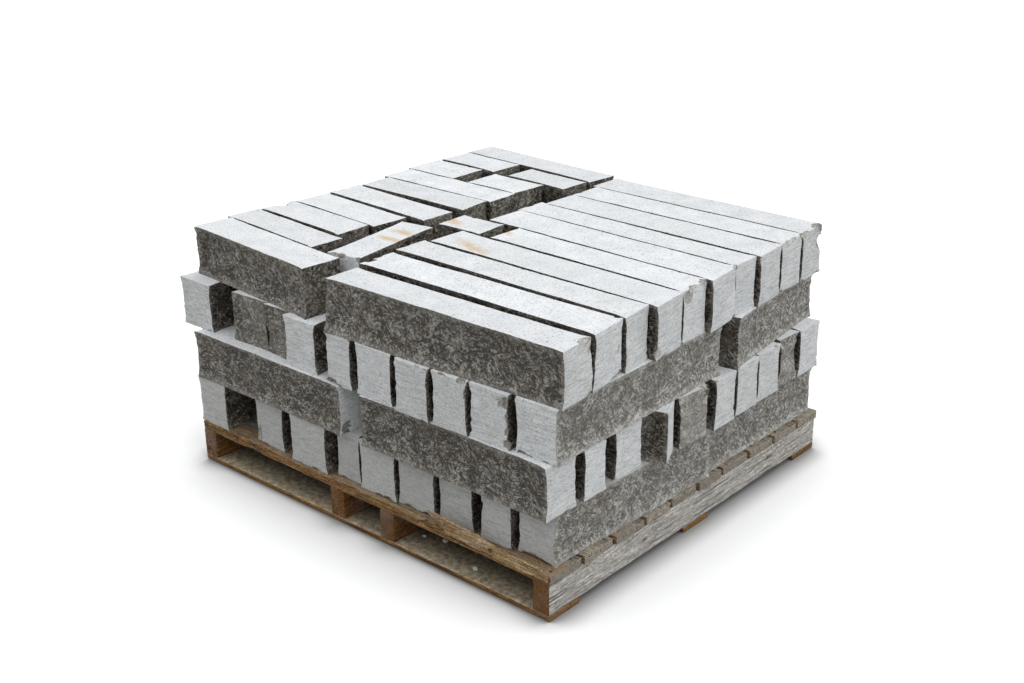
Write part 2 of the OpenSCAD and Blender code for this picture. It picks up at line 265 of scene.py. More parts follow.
def scoops(a, b, size, seed):
    """Depth from 0 to about 1 of bowls about size across that meet in ridges."""
    a, b = a / size, b / size
    ia, ib = np.floor(a), np.floor(b)
    height = np.full(a.shape, 9.0)
    for da in (-1, 0, 1):
        for db in (-1, 0, 1):
            ca, cb = ia + da, ib + db
            x = a - ca - chance(ca, cb, seed + 1)
            y = b - cb - chance(ca, cb, seed + 2)
            lean_x = chance(ca, cb, seed + 3) - 0.5
            lean_y = chance(ca, cb, seed + 4) - 0.5
            bowl = 0.5 * chance(ca, cb, seed + 5) + lean_x * x + lean_y * y + 0.6 * (x * x + y * y)
            height = np.minimum(height, bowl)
    return np.clip(0.85 - height, 0, 1.1)


print("a test row of scoops:", scoops(np.arange(5.0), np.zeros(5), 2.5, 7).round(2))

# %% [markdown]
# ## Reading the stones back from the CAD
#
# Each CAD stone is a net of corners: two split sides, four levels high, with a column about
# every 85 mm. A row's node holds one to three such stones. The corners are joined into
# islands, one per stone. The large flat upright faces of a stone are its sawn ends, and one of
# them is always square, so its normal is the stone's long direction. Sorted by side, level and
# place along, the corners are the net again.


# %% Islands and nets
def islands(node):
    """The solids of a CAD node, each as (corners, triangles)."""
    work = bmesh.new()
    work.from_mesh(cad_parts[node].data)
    bmesh.ops.remove_doubles(work, verts=work.verts, dist=1e-5)
    bmesh.ops.triangulate(work, faces=work.faces)
    found, seen = [], set()
    for start in work.verts:
        if start in seen:
            continue
        group, reach = [], [start]
        seen.add(start)
        while reach:
            vert = reach.pop()
            group.append(vert)
            for edge in vert.link_edges:
                other = edge.other_vert(vert)
                if other not in seen:
                    seen.add(other)
                    reach.append(other)
        faces = {face for vert in group for face in vert.link_faces}
        triangles = sorted(tuple(tuple(v.co) for v in face.verts) for face in faces)
        corners = sorted(tuple(v.co) for v in group)
        found.append((np.array(corners), np.array(triangles)))
    work.free()
    return sorted(found, key=lambda solid: tuple(solid[0].mean(0).round(3)))


def long_direction(corners, triangles):
    """The normal of the end that was sawn square."""
    cross = np.cross(triangles[:, 1] - triangles[:, 0], triangles[:, 2] - triangles[:, 0])
    area = np.linalg.norm(cross, axis=1)
    normal = cross / area[:, None]
    upright = np.abs(normal[:, 2]) < 0.01
    normal, area = normal[upright, :2], area[upright]
    shared = (np.abs(normal @ normal.T) > 0.99995) @ area
    ends = normal[shared > 0.6 * shared.max()]
    # an end sawn askew is told from a square one by the line between the ends' middles
    rim = corners[corners[:, 2] > corners[:, 2].max() - 1e-4, :2]
    rim = rim[np.argsort(rim @ ends[0])]
    best = ends[np.argmax(np.abs(ends @ (rim[-2:].mean(0) - rim[:2].mean(0))))]
    along_x = abs(best[0]) > abs(best[1])
    return best * np.sign(best[0] if along_x else best[1]) / np.linalg.norm(best)


SPLIT_LEVELS = 4


def net_of(corners, along):
    """A stone's corners as an array of side, level, column and (along, across, up)."""
    middle = (corners.min(0) + corners.max(0)) / 2
    across = np.array([-along[1], along[0]])
    flat = corners[:, :2] - middle[:2]
    local = np.column_stack([flat @ along, flat @ across, corners[:, 2]])
    low, high = local[:, 2].min(), local[:, 2].max()
    level = np.rint((local[:, 2] - low) / (high - low) * (SPLIT_LEVELS - 1))
    order = np.lexsort((local[:, 0], level, local[:, 1] > 0))
    return local[order].reshape(2, SPLIT_LEVELS, -1, 3), middle, across


first_row = islands("top_course_row_1")
lengths = [round(float(np.ptp(corners[:, 0])), 3) for corners, _ in first_row]
print("stones in the top course's first row:", len(first_row), "of lengths", lengths)

# %% [markdown]
# ## A finer skin over a block
#
# A stone or a board is a block with six faces, so one grid serves both. The two long sides
# are given as grids of points. Top, bottom and ends are drawn straight across between them.
# The grid lines crowd together near the edges, because that is where chips, wear and rounding
# have to show.


# %% The block grid
NEAR_EDGE = np.array([0, 0.0022, 0.0052, 0.0095, 0.0155])


def grid_lines(length, step, near=NEAR_EDGE):
    """Places from 0 to 1 along a length in metres, crowded at both ends."""
    count = max(1, round((length - 2 * near[-1]) / step))
    middle = np.linspace(near[-1], length - near[-1], count + 1)
    return np.concatenate([near[:-1], middle, (length - near[:-1])[::-1]]) / length


def block(side0, side1, across):
    """A closed skin: points, quads and each quad's face name.

    side0 and side1 are arrays [along, up, xyz], and may carry more values after xyz. across
    holds the places between them.
    """
    nu, nz, m = side0.shape[0] - 1, side0.shape[1] - 1, len(across) - 1
    ring = 2 * (nz + m)
    up = [(0, j) for j in range(nz + 1)] + [(a, nz) for a in range(1, m)]
    down = [(m, nz - j) for j in range(nz + 1)] + [(m - a, 0) for a in range(1, m)]
    place = np.array(up + down)
    f = across[place[:, 0]][None, :, None]
    skin = (1 - f) * side0[:, place[:, 1]] + f * side1[:, place[:, 1]]
    points = [skin.reshape(-1, side0.shape[-1])]
    i, k = np.meshgrid(np.arange(nu), np.arange(ring), indexing="ij")
    k2 = (k + 1) % ring
    here, ahead = i * ring, (i + 1) * ring
    quads = [np.stack([here + k, ahead + k, ahead + k2, here + k2], -1).reshape(-1, 4)]
    names = np.repeat([0, 2, 1, 3], [nz, m, nz, m])
    faces = [np.tile(names, nu)]
    offset = (nu + 1) * ring
    for end, row in ((0, 0), (1, nu)):
        index = np.empty((m + 1, nz + 1), int)
        index[place[:, 0], place[:, 1]] = row * ring + np.arange(ring)
        a, j = np.meshgrid(np.arange(1, m), np.arange(1, nz), indexing="ij")
        index[1:m, 1:nz] = offset + np.arange(a.size).reshape(a.shape)
        f = across[a.ravel()][:, None]
        points.append((1 - f) * side0[row, j.ravel()] + f * side1[row, j.ravel()])
        offset += a.size
        around = [index[:-1, :-1], index[1:, :-1], index[1:, 1:], index[:-1, 1:]]
        quad = np.stack(around, -1).reshape(-1, 4)
        quads.append(quad[:, ::-1] if end == 0 else quad)
        faces.append(np.full(len(quad), 4 + end))
    return np.vstack(points), np.vstack(quads), np.concatenate(faces)


# The names of a block's faces. Its top and bottom are 2 and 3.
SIDE0, SIDE1, END0, END1 = 0, 1, 4, 5
print("grid lines along 120 mm:", grid_lines(0.12, 0.012).round(3))

# %% [markdown]
# ## Splitting, breaking and chipping
#
# The split sides start from the CAD net and gain three sizes of relief: broad bowls, small
# ones and grit. It goes inwards, so a stone doesn't grow into its neighbour. Only at the rims
# does the outline waver both ways, by a millimetre or two, so that the joints keep their width.
# A few stones have an end that was broken off instead of sawn. It gets the same relief, and
# the skin behind it is squeezed a little to make room.
# Chips are bites out of the sharp edges. Each is a rough ball: points of the skin inside it
# move out to its surface, and are marked, so that the finish there is broken stone too.

# %% Relief of a split side
BROAD, SMALL, GRIT = 0.042, 0.015, 0.006
BROAD_DEEP, SMALL_DEEP, GRIT_DEEP = 0.0065, 0.0032, 0.0006
# The saw's edges are straighter than the faces: near them the relief dies down, more so
# along the top and bottom than down the ends
RIM, END_CALM, BED_CALM = 0.024, 0.55, 0.25
END_SWELL, BED_SWELL, JAG = 0.0027, 0.0014, 0.0011
# The widest grid step up a stone, and how far a grid point wanders, as a share of a step
UP_STEP, WANDER = 0.009, 0.3


def relief(a, b, seed, strength=1.0):
    """How far split stone lies inside its outermost plane at places (a, b), in metres."""
    bend = 0.35 * BROAD * swell(a, b, 2 * BROAD, seed + 9)
    deep = BROAD_DEEP * scoops(a + bend, b * 1.25, BROAD, seed)
    deep += SMALL_DEEP * scoops(a, b * 1.15 + bend, SMALL, seed + 20)
    return strength * deep + GRIT_DEEP * (1 + swell(a, b, GRIT, seed + 40))


def away_from_rim(a, calm):
    """From calm at the lowest and highest of some places to 1 a couple of centimetres inside."""
    inside = np.clip(np.minimum(a - a.min(), a.max() - a) / RIM, 0, 1)
    return calm + (1 - calm) * inside * inside * (3 - 2 * inside)


def stone_sides(net, step, seed):
    """The split sides of a stone as fine grids [along, up, xyz and relief], from its CAD net."""
    length = net[..., 0].max() - net[..., 0].min()
    height = net[..., 2].max() - net[..., 2].min()
    s, t = grid_lines(length, step), grid_lines(height, min(step, UP_STEP))
    level = t * (SPLIT_LEVELS - 1)
    low = np.minimum(level.astype(int), SPLIT_LEVELS - 2)
    part = (level - low)[None, :, None]
    sides = []
    for side in (0, 1):
        lines = []
        for x, y, z in net[side].transpose(0, 2, 1):
            u = x[0] + s * (x[-1] - x[0])
            lines.append(np.column_stack([u, np.interp(u, x, y), np.interp(u, x, z)]))
        lines = np.array(lines).transpose(1, 0, 2)
        fine = (1 - part) * lines[:, low] + part * lines[:, low + 1]
        inward = 1 if side == 0 else -1
        off_end = away_from_rim(fine[..., 0], END_CALM)
        off_bed = away_from_rim(fine[..., 2], BED_CALM)
        depth = relief(fine[..., 0], fine[..., 2], seed + 100 * side, off_end * off_bed)
        depth -= BED_SWELL * (1 - off_bed) / (1 - BED_CALM)
        near_end = (1 - off_end) / (1 - END_CALM)
        jag = JAG * swell(fine[..., 0] / 2, fine[..., 2], 0.008, seed + 60 + side)
        depth += near_end * (jag - END_SWELL)
        fine[..., 1] += inward * depth
        # the sawn faces stay flat: grid points inside a split side wander, those on its rim don't
        wander = np.zeros(fine.shape[:2])
        wander[5:-5, 5:-5] = WANDER * min(step, UP_STEP)
        cell = np.indices(wander.shape)
        fine[..., 0] += wander * (2 * chance(cell[0], cell[1], seed + side) - 1)
        fine[..., 2] += wander * (2 * chance(cell[0], cell[1], seed + side + 7) - 1)
        sides.append(np.concatenate([fine, depth[..., None]], -1))
    return sides


# %% [markdown]
# Which ends were broken can be read from the CAD too: the upright edges of a sawn end are
# straight, and those of a broken one are not. A bite's centre is then put a little outside
# the faces that it is close to, so that it cuts an edge and doesn't hollow out a face.

# %% Broken ends and chips
# How far in from a broken end its skin is pressed
END_BLEND = 0.06
# Shares of a bite's radius: how rough the bite is, and how far outside a face its centre lies
ROUGH_BITE, OUTSIDE = 0.28, 0.3


def is_broken(net, end):
    """True if the corners of one edge of that end are not in line."""
    return np.ptp(net[0, :, -end, 0]) > 0.001


def roughen_end(points, net, end, seed):
    """Presses a broken end's skin in, less and less over the first few centimetres."""
    edge = net[:, :, -end, 0].max() if end else net[:, :, 0, 0].min()
    inward = -1 if end else 1
    fade = np.clip(1 - np.abs(points[:, 0] - edge) / END_BLEND, 0, 1)
    deep = relief(points[:, 1], points[:, 2], seed, 0.8)
    points[:, 0] += inward * fade * deep
    return fade**8 * deep


def bite(points, centre, radius, seed):
    """Moves skin points inside a rough ball out to its surface. Returns how far each moved."""
    gap = points - centre
    reach = np.linalg.norm(gap, axis=1)
    near = np.flatnonzero(reach < 1.5 * radius)
    moved = np.zeros(len(points))
    if len(near) == 0:
        return moved
    way = gap[near] / np.maximum(reach[near], 1e-6)[:, None]
    bumps = swell(2.2 * way[:, 0] + 9, 2.2 * way[:, 2] + 2.2 * way[:, 1], 1.0, seed)
    out = np.clip(radius * (1 + ROUGH_BITE * bumps) - reach[near], 0, None)
    points[near] += way * out[:, None]
    moved[near] = out
    return moved


def outside_corner(net, spot, radius):
    """Moves a bite's centre a little outside the faces it is close to, so that it cuts inwards."""
    low, high = net[..., 2].min(), net[..., 2].max()
    for face, way in ((low, -1), (high, 1)):
        if abs(spot[2] - face) < radius:
            spot[2] = face + OUTSIDE * way * radius
    for column, way in ((0, -1), (-1, 1)):
        # an end sawn askew lies further in on one side than on the other
        edge = net[:, :, column].mean(1)
        face = np.interp(spot[1], edge[:, 1], edge[:, 0])
        if abs(spot[0] - face) < 2 * radius:
            spot[0] = face + OUTSIDE * way * radius
    return spot


print("relief at most", round(1000 * (BROAD_DEEP + SMALL_DEEP + 2 * GRIT_DEEP), 1), "mm")

# %% [markdown]
# Small chips sit at random along the edges that the saw left sharp, most of them at the ends.
# The list below adds the large ones that give single stones of this stack their look. Each is
# a place on the stack and a radius, in millimetres.

# %% The larger bites, as (x, y, z, radius)
LARGE_BITES = np.array([
    # front ends of the bottom course
    (-386, -542, 152, 8), (-386, -542, 134, 10), (-372, -542, 119, 12), (-160, -540, 117, 11),
    (60, -541, 116, 10), (92, -541, 118, 14), (160, -530, 121, 12), (176, -530, 117, 10),
    (214, -528, 116, 10), (364, -527, 213, 12), (380, -525, 200, 12), (473, -525, 116, 9),
    (506, -514, 117, 17), (530, -514, 117, 15), (556, -514, 116, 13), (578, -514, 116, 9),
    # front ends of the second course
    (-666, -537, 373, 10), (-60, -540, 262, 12), (-35, -540, 256, 14), (-8, -540, 254, 10),
    # front ends of the third course
    (-95, -552, 392, 14), (-75, -552, 383, 18), (-52, -552, 382, 9), (362, -545, 499, 14),
    (373, -545, 476, 12), (480, -543, 486, 12), (486, -543, 452, 10), (488, -543, 418, 11),
    (488, -543, 390, 12), (515, -542, 384, 13), (536, -542, 382, 8),
    # right ends of the top course
    (623, -452, 630, 17), (622, -438, 608, 10), (621, -437, 512, 11), (615, -395, 511, 6),
    (606, -314, 514, 19), (608, -338, 511, 10), (612, -322, 570, 7), (609, -246, 511, 6),
    (620, -199, 519, 12), (620, -170, 510, 13), (618, -146, 509, 9), (615, -112, 510, 8),
    (608, -88, 512, 9), (608, -70, 616, 17), (608, -46, 630, 17), (606, -20, 636, 13),
    (604, 6, 634, 14), (604, 134, 633, 11), (604, 131, 512, 11), (600, 384, 634, 10),
    (598, 412, 631, 13), (600, 354, 514, 13), (600, 384, 510, 8), (598, 459, 633, 18),
    (594, 514, 637, 15), (592, 548, 628, 30), (594, 554, 590, 20), (596, 464, 513, 12),
    (595, 494, 510, 10), (593, 540, 511, 12),
    # right ends of the second course
    (607, -350, 374, 11), (626, 14, 374, 22), (626, 6, 358, 12), (609, 425, 378, 20),
    (609, 448, 362, 12), (609, 543, 252, 9),
    # tops
    (-655, -214, 634, 26), (-660, -490, 634, 8), (-203, -406, 634, 14), (-186, -396, 634, 11),
    (-122, -388, 634, 17), (-22, 18, 634, 13),
]) / 1000
print("large bites:", len(LARGE_BITES))

# %% Small chips
SMALL_BITES = 22
LEAST_BITE, BITE_SPREAD = 0.0035, 0.0055
# How far outside its edge a chip's centre lies, as a share of its radius
OUT_OF_EDGE = 0.42
# Shares of the chips: those on upper edges, and those round the ends
ON_TOP, ON_ENDS = 0.35, 0.75


def random_bites(net, seed):
    """Centres and radii of small chips along the edges of one stone, in its own axes."""
    low, high = net.reshape(-1, 3).min(0), net.reshape(-1, 3).max(0)
    size = high - low
    made = []
    for n in range(SMALL_BITES):
        r = chance(seed, n, np.arange(8))
        radius = LEAST_BITE + BITE_SPREAD * r[0] ** 2
        # a stone is set down on its lower edges, so these are chipped the most
        spot = low + size * np.array([r[1], round(r[2]), float(r[3] < ON_TOP)])
        if r[4] < ON_ENDS:
            spot[0] = (low, high)[int(r[5] < 0.5)][0]
            free = 1 + int(r[6] < 0.5)
            spot[free] = low[free] + r[7] * size[free]
        off = spot - (low + high) / 2
        out = np.sign(off) * (np.abs(off) > 0.499 * size)
        made.append((spot + OUT_OF_EDGE * radius * out, radius))
    return made


print("small chips a stone:", SMALL_BITES)

# %% [markdown]
# ## Rust, weather and painted light
#
# Iron in the ground water has left a few pale rusty stains on the tops. The split sides on the
# outside of the stack are paler than the ones in the joints, which are dark. This paleness is
# partly weather and partly painted light: it is greatest on the right side, where the light
# comes from, and least on the front, which lies in shade. Both are worked out from a point's
# place on the stack.

# %% Rust, weather and painted light on the stone
# Stains: x, y, how long, how wide, angle
RUST_PATCHES = [
    (-0.195, -0.180, 0.045, 0.014, 0.0),
    (-0.180, -0.240, 0.050, 0.012, 0.0),
    (0.025, -0.157, 0.085, 0.016, -0.3),
    (-0.165, -0.027, 0.050, 0.016, -0.4),
    (0.015, -0.014, 0.035, 0.010, -0.4),
]
# The stack's four open sides: axis, which end of it, and how much paler it is painted, by
# weather and by painted light: most on the lit right side, least on the shaded front
OPEN_SIDES = [(0, 1, 1.0), (0, 0, 0.6), (1, 0, 0.3), (1, 1, 0.6)]
OPEN_REACH = 0.085
TOPS_ABOVE = 0.6


def rust_at(points):
    """How rusty each point is, from 0 to 1."""
    rust = np.zeros(len(points))
    for x, y, long, wide, angle in RUST_PATCHES:
        c, s = math.cos(angle), math.sin(angle)
        dx, dy = points[:, 0] - x, points[:, 1] - y
        far = np.hypot((c * dx + s * dy) / (1.3 * long), (c * dy - s * dx) / (1.5 * wide))
        rust = np.maximum(rust, np.clip(1.15 - far, 0, 1))
    return rust * (points[:, 2] > TOPS_ABOVE)


def weathered_and_lit(mesh):
    """How pale each point is, from 0 in a joint to 1 on an open side: weather and painted light."""
    points, normals = np.empty((2, 3 * len(mesh.vertices)))
    mesh.vertices.foreach_get("co", points)
    mesh.vertices.foreach_get("normal", normals)
    points, normals = points.reshape(-1, 3), normals.reshape(-1, 3)
    pale = np.zeros(len(points))
    # each side's share is partly painted light: the lit right side gets the most, the front least
    for axis, end, most in OPEN_SIDES:
        facing = np.clip(2.5 * (2 * end - 1) * normals[:, axis] - 0.75, 0, 1)
        inside = np.abs(points[:, axis] - cad_box[end][axis])
        pale = np.maximum(pale, most * facing * np.clip((OPEN_REACH - inside) / 0.01, 0, 1))
    return pale


print("open sides:", len(OPEN_SIDES), "rust stains:", len(RUST_PATCHES))

# %% [markdown]
# ## Pieces
#
# Every piece is one mesh that rides with the pallet. What a material has to know about single
# points is kept in the mesh, as one number a point.


# %% Pieces and what their points keep
def new_piece(name, points, faces, materials, record_slot):
    """Makes a mesh piece that rides with the pallet."""
    mesh = bpy.data.meshes.new(name)
    mesh.from_pydata(points, [], faces)
    for material in materials:
        mesh.materials.append(material)
    made = bpy.data.objects.new(name, mesh)
    bpy.context.collection.objects.link(made)
    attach(made, "root")
    return made


def keep_value(mesh, name, values):
    """Stores one number per point, or the same for all, which a material can read by name."""
    each = np.empty(len(mesh.vertices), np.float32)
    each[:] = values
    mesh.attributes.new(name, "FLOAT", "POINT").data.foreach_set("value", each)


def sharpen(mesh, face_names):
    """Smooth shading, with a sharp edge wherever two faces with different names meet."""
    mesh.shade_smooth()
    loops = np.empty(len(mesh.loops), int)
    mesh.loops.foreach_get("edge_index", loops)
    names = np.repeat(face_names, 4)
    low, high = np.full(len(mesh.edges), 99), np.full(len(mesh.edges), -1)
    np.minimum.at(low, loops, names)
    np.maximum.at(high, loops, names)
    mesh.attributes.new("sharp_edge", "BOOLEAN", "EDGE").data.foreach_set("value", low != high)


# %% [markdown]
# ## Shaping one stone
#
# The steps above come together here: a stone's net becomes a fine skin, its broken ends are
# roughened, its edges are bitten, and it is put back in its place in the stack. Stones in the
# top course and round the outside get a fine grid, because they are seen. The ones inside
# show only their ends and a strip down a joint, so theirs is coarser along the length.

# %% One stone
OUTER_STEP, TOP_STEP, INNER_STEP = 0.0056, 0.0078, 0.015
ACROSS_STEP = 0.014
# An outer stone's middle is no further than this from the outside of the stack
OUTER_REACH = 0.135
# Where the outline of an end swells out into a wide joint: node, x, y, z, reach, and how far
SWELLINGS = [
    ("top_course_row_1", 0.620, -0.437, 0.550, 0.075, 0.012),
    ("top_course_row_2", 0.618, -0.418, 0.530, 0.080, -0.008),
]


def grid_step(corners):
    """How far apart the grid lines along a stone are: close where it shows."""
    axis = int(np.ptp(corners[:, 1]) <= np.ptp(corners[:, 0]))
    middle = corners[:, axis].mean()
    if min(middle - cad_box[0][axis], cad_box[1][axis] - middle) < OUTER_REACH:
        return OUTER_STEP
    return TOP_STEP if corners[:, 2].max() > cad_box[1][2] - 0.01 else INNER_STEP


def build_stone(node, corners, triangles, seed):
    """One stone in the shared frame: points, quads, split faces, chips and depth of relief."""
    along = long_direction(corners, triangles)
    net, middle, across = net_of(corners, along)
    low, high = corners[:, 2].min(), corners[:, 2].max()

    def own_place(x, y, z):
        """A place of the stack in the stone's own axes."""
        gap = np.array([x, y]) - middle[:2]
        return np.array([gap @ along, gap @ across, z])

    side0, side1 = stone_sides(net, grid_step(corners), seed)
    width = net[1, :, :, 1].mean() - net[0, :, :, 1].mean()
    skin, quads, names = block(side0, side1, grid_lines(width, ACROSS_STEP))
    points, hollow = skin[:, :3].copy(), skin[:, 3].copy()
    split = (names == SIDE0) | (names == SIDE1)
    for end, face in enumerate((END0, END1)):
        if is_broken(net, end):
            hollow = np.maximum(hollow, roughen_end(points, net, end, seed + 300 + end))
            split |= names == face
    for owner, x, y, z, reach, out in SWELLINGS:
        if owner == node:
            far = np.linalg.norm((points - own_place(x, y, z)) * (1, 1.6, 1), axis=1)
            near = np.clip(1 - far / reach, 0, 1)
            points[:, 1] += out * across[1] * near * near * (3 - 2 * near)
    bites = []
    for x, y, z, radius in LARGE_BITES:
        if low < z < high:
            bites.append((outside_corner(net, own_place(x, y, z), radius), radius))
    chipped = np.zeros(len(points))
    for n, (centre, radius) in enumerate(bites + random_bites(net, seed)):
        chipped = np.maximum(chipped, bite(points, centre, radius, seed + 500 + n))
    flat = middle[:2] + points[:, :1] * along + points[:, 1:2] * across
    up = np.clip(points[:, 2:], low, high)
    return np.hstack([flat, up]), quads, split, chipped, hollow


print("grid steps in mm:", [1000 * step for step in (OUTER_STEP, TOP_STEP, INNER_STEP)])

# %% [markdown]
# ## Sawn limestone
#
# The stone is a dense dolomitic limestone, cut wet with a diamond saw. Fresh cuts are close
# to white with a cold cast, and matt, because the grit leaves a fine tooth. Details at their
# real sizes: clouds 60 mm across, specks of 5 mm, pits of up to 4 mm, faint saw lines about
# 4 mm apart, and thin grey seams that run level through the bed and show on the ends. The
# grain is under 1 mm in the stone, and is drawn at 2.5 mm here so that it shows.


# %% The sawn face
def sawn_face(tree, own, clouds, grain):
    """The colour of a sawn face, and where its pits are."""
    tone = add(tree, "Attribute", attribute_name="own_tone").outputs["Fac"]
    rust = add(tree, "Attribute", attribute_name="rust").outputs["Fac"]
    cloud = add(tree, "MapRange", {"Value": clouds, "From Min": 0.35, "From Max": 0.7})
    sawn = add(tree, "MixRGB", {"Fac": cloud, "Color1": "#F4F7FA", "Color2": "#E2E6E9"})
    toned = add(tree, "MixRGB", {"Fac": tone, "Color1": sawn, "Color2": "#C2C3C1"})
    tooth = add(
        tree, "MapRange", {"Value": grain, "From Min": 0.36, "From Max": 0.68, "To Max": 0.34}
    )
    toothed = add(tree, "MixRGB", {"Fac": tooth, "Color1": toned, "Color2": "#9C9E9D"})
    # saw lines run level on the ends, and along the stone on its top
    combed = add(tree, "VectorMath", {0: own, 1: (0.25, 0.25, 2.0)}, operation="MULTIPLY")
    comb = add(
        tree, "TexNoise", {"Vector": combed, "Scale": 1 / (8 * MM), "Detail": 4.0, "Roughness": 0.7}
    )
    combing = add(
        tree, "MapRange", {"Value": comb, "From Min": 0.45, "From Max": 0.66, "To Max": 0.5}
    )
    upright = add(tree, "SeparateXYZ", {0: add(tree, "NewGeometry").outputs["Normal"]}).outputs["Z"]
    on_end = add(
        tree, "MapRange", {"Value": upright, "From Min": 0.6, "From Max": 0.3, "To Min": 0.15}
    )
    combed_end = add(tree, "Math", {0: combing, 1: on_end}, operation="MULTIPLY")
    lined = add(tree, "MixRGB", {"Fac": combed_end, "Color1": toothed, "Color2": "#8F918F"})
    speckle = add(
        tree, "TexNoise", {"Vector": own, "Scale": 1 / (5 * MM), "Detail": 4.0, "Roughness": 0.75}
    )
    specks = add(
        tree, "MapRange", {"Value": speckle, "From Min": 0.54, "From Max": 0.68, "To Max": 0.7}
    )
    speckled = add(tree, "MixRGB", {"Fac": specks, "Color1": lined, "Color2": "#7E7D77"})
    # pits sit in a few patches, and most of the face has none
    pits = add(tree, "TexVoronoi", {"Vector": own, "Scale": 1 / (11 * MM), "Randomness": 1.0})
    patch = add(tree, "TexNoise", {"Vector": own, "Scale": 1 / (70 * MM), "Detail": 3.0})
    pit_size = add(
        tree, "MapRange", {"Value": patch, "From Min": 0.54, "From Max": 0.72, "To Max": 0.2}
    )
    pit = add(tree, "Math", {0: pits.outputs["Distance"], 1: pit_size}, operation="SUBTRACT")
    pitted = add(tree, "MapRange", {"Value": pit, "From Min": 0.02, "From Max": -0.05})
    dotted = add(tree, "MixRGB", {"Fac": pitted, "Color1": speckled, "Color2": "#5E5A52"})
    # thin seams lie level in the bed, so they cross the ends and never the tops
    rise = add(tree, "SeparateXYZ", {0: own}).outputs["Z"]
    sway = add(
        tree, "TexNoise", {"Vector": own, "Scale": 1 / (35 * MM), "Detail": 4.0, "Roughness": 0.65}
    )
    wavy = add(tree, "Math", {0: sway, 1: 16 * MM, 2: rise}, operation="MULTIPLY_ADD")
    beds = add(tree, "Math", {0: wavy, 1: 57 * MM}, operation="PINGPONG")
    line = add(
        tree, "MapRange", {"Value": beds, "From Min": 0.9 * MM, "From Max": 0.2 * MM, "To Max": 0.55}
    )
    broken_up = add(tree, "MapRange", {"Value": patch, "From Min": 0.46, "From Max": 0.56})
    seam = add(tree, "Math", {0: line, 1: broken_up}, operation="MULTIPLY")
    seam_here = add(tree, "Math", {0: seam, 1: on_end}, operation="MULTIPLY")
    seamed = add(tree, "MixRGB", {"Fac": seam_here, "Color1": dotted, "Color2": "#6F706D"})
    # rust stains
    seep = add(
        tree, "TexNoise", {"Vector": own, "Scale": 1 / (22 * MM), "Detail": 5.0, "Roughness": 0.7}
    )
    rusty = add(tree, "Math", {0: seep, 1: 1.6, 2: rust}, operation="MULTIPLY_ADD")
    rust_mask = add(
        tree, "MapRange", {"Value": rusty, "From Min": 1.05, "From Max": 1.75, "To Max": 0.8}
    )
    stained = add(tree, "MixRGB", {"Fac": rust_mask, "Color1": seamed, "Color2": "#CFAE82"})
    return stained, pitted


print("saw lines 4 mm apart, seams 57 mm apart")

# %% [markdown]
# ## Split limestone
#
# The sides were opened with a wedge. The break runs in feathery strokes 3 mm wide and about
# 15 mm long, over lumps of 30 mm, and lifts flakes of 6 by 18 mm. The eye takes in a lively,
# torn surface with earthy brown patches. Light and shade are painted on it too: a painted
# highlight on the crests, painted shade in the hollows, and pale flecks as painted glints of
# small faces that catch the light.
# Strokes and flakes are drawn twice, in two directions that fan out, and patches of the one
# take turns with patches of the other.


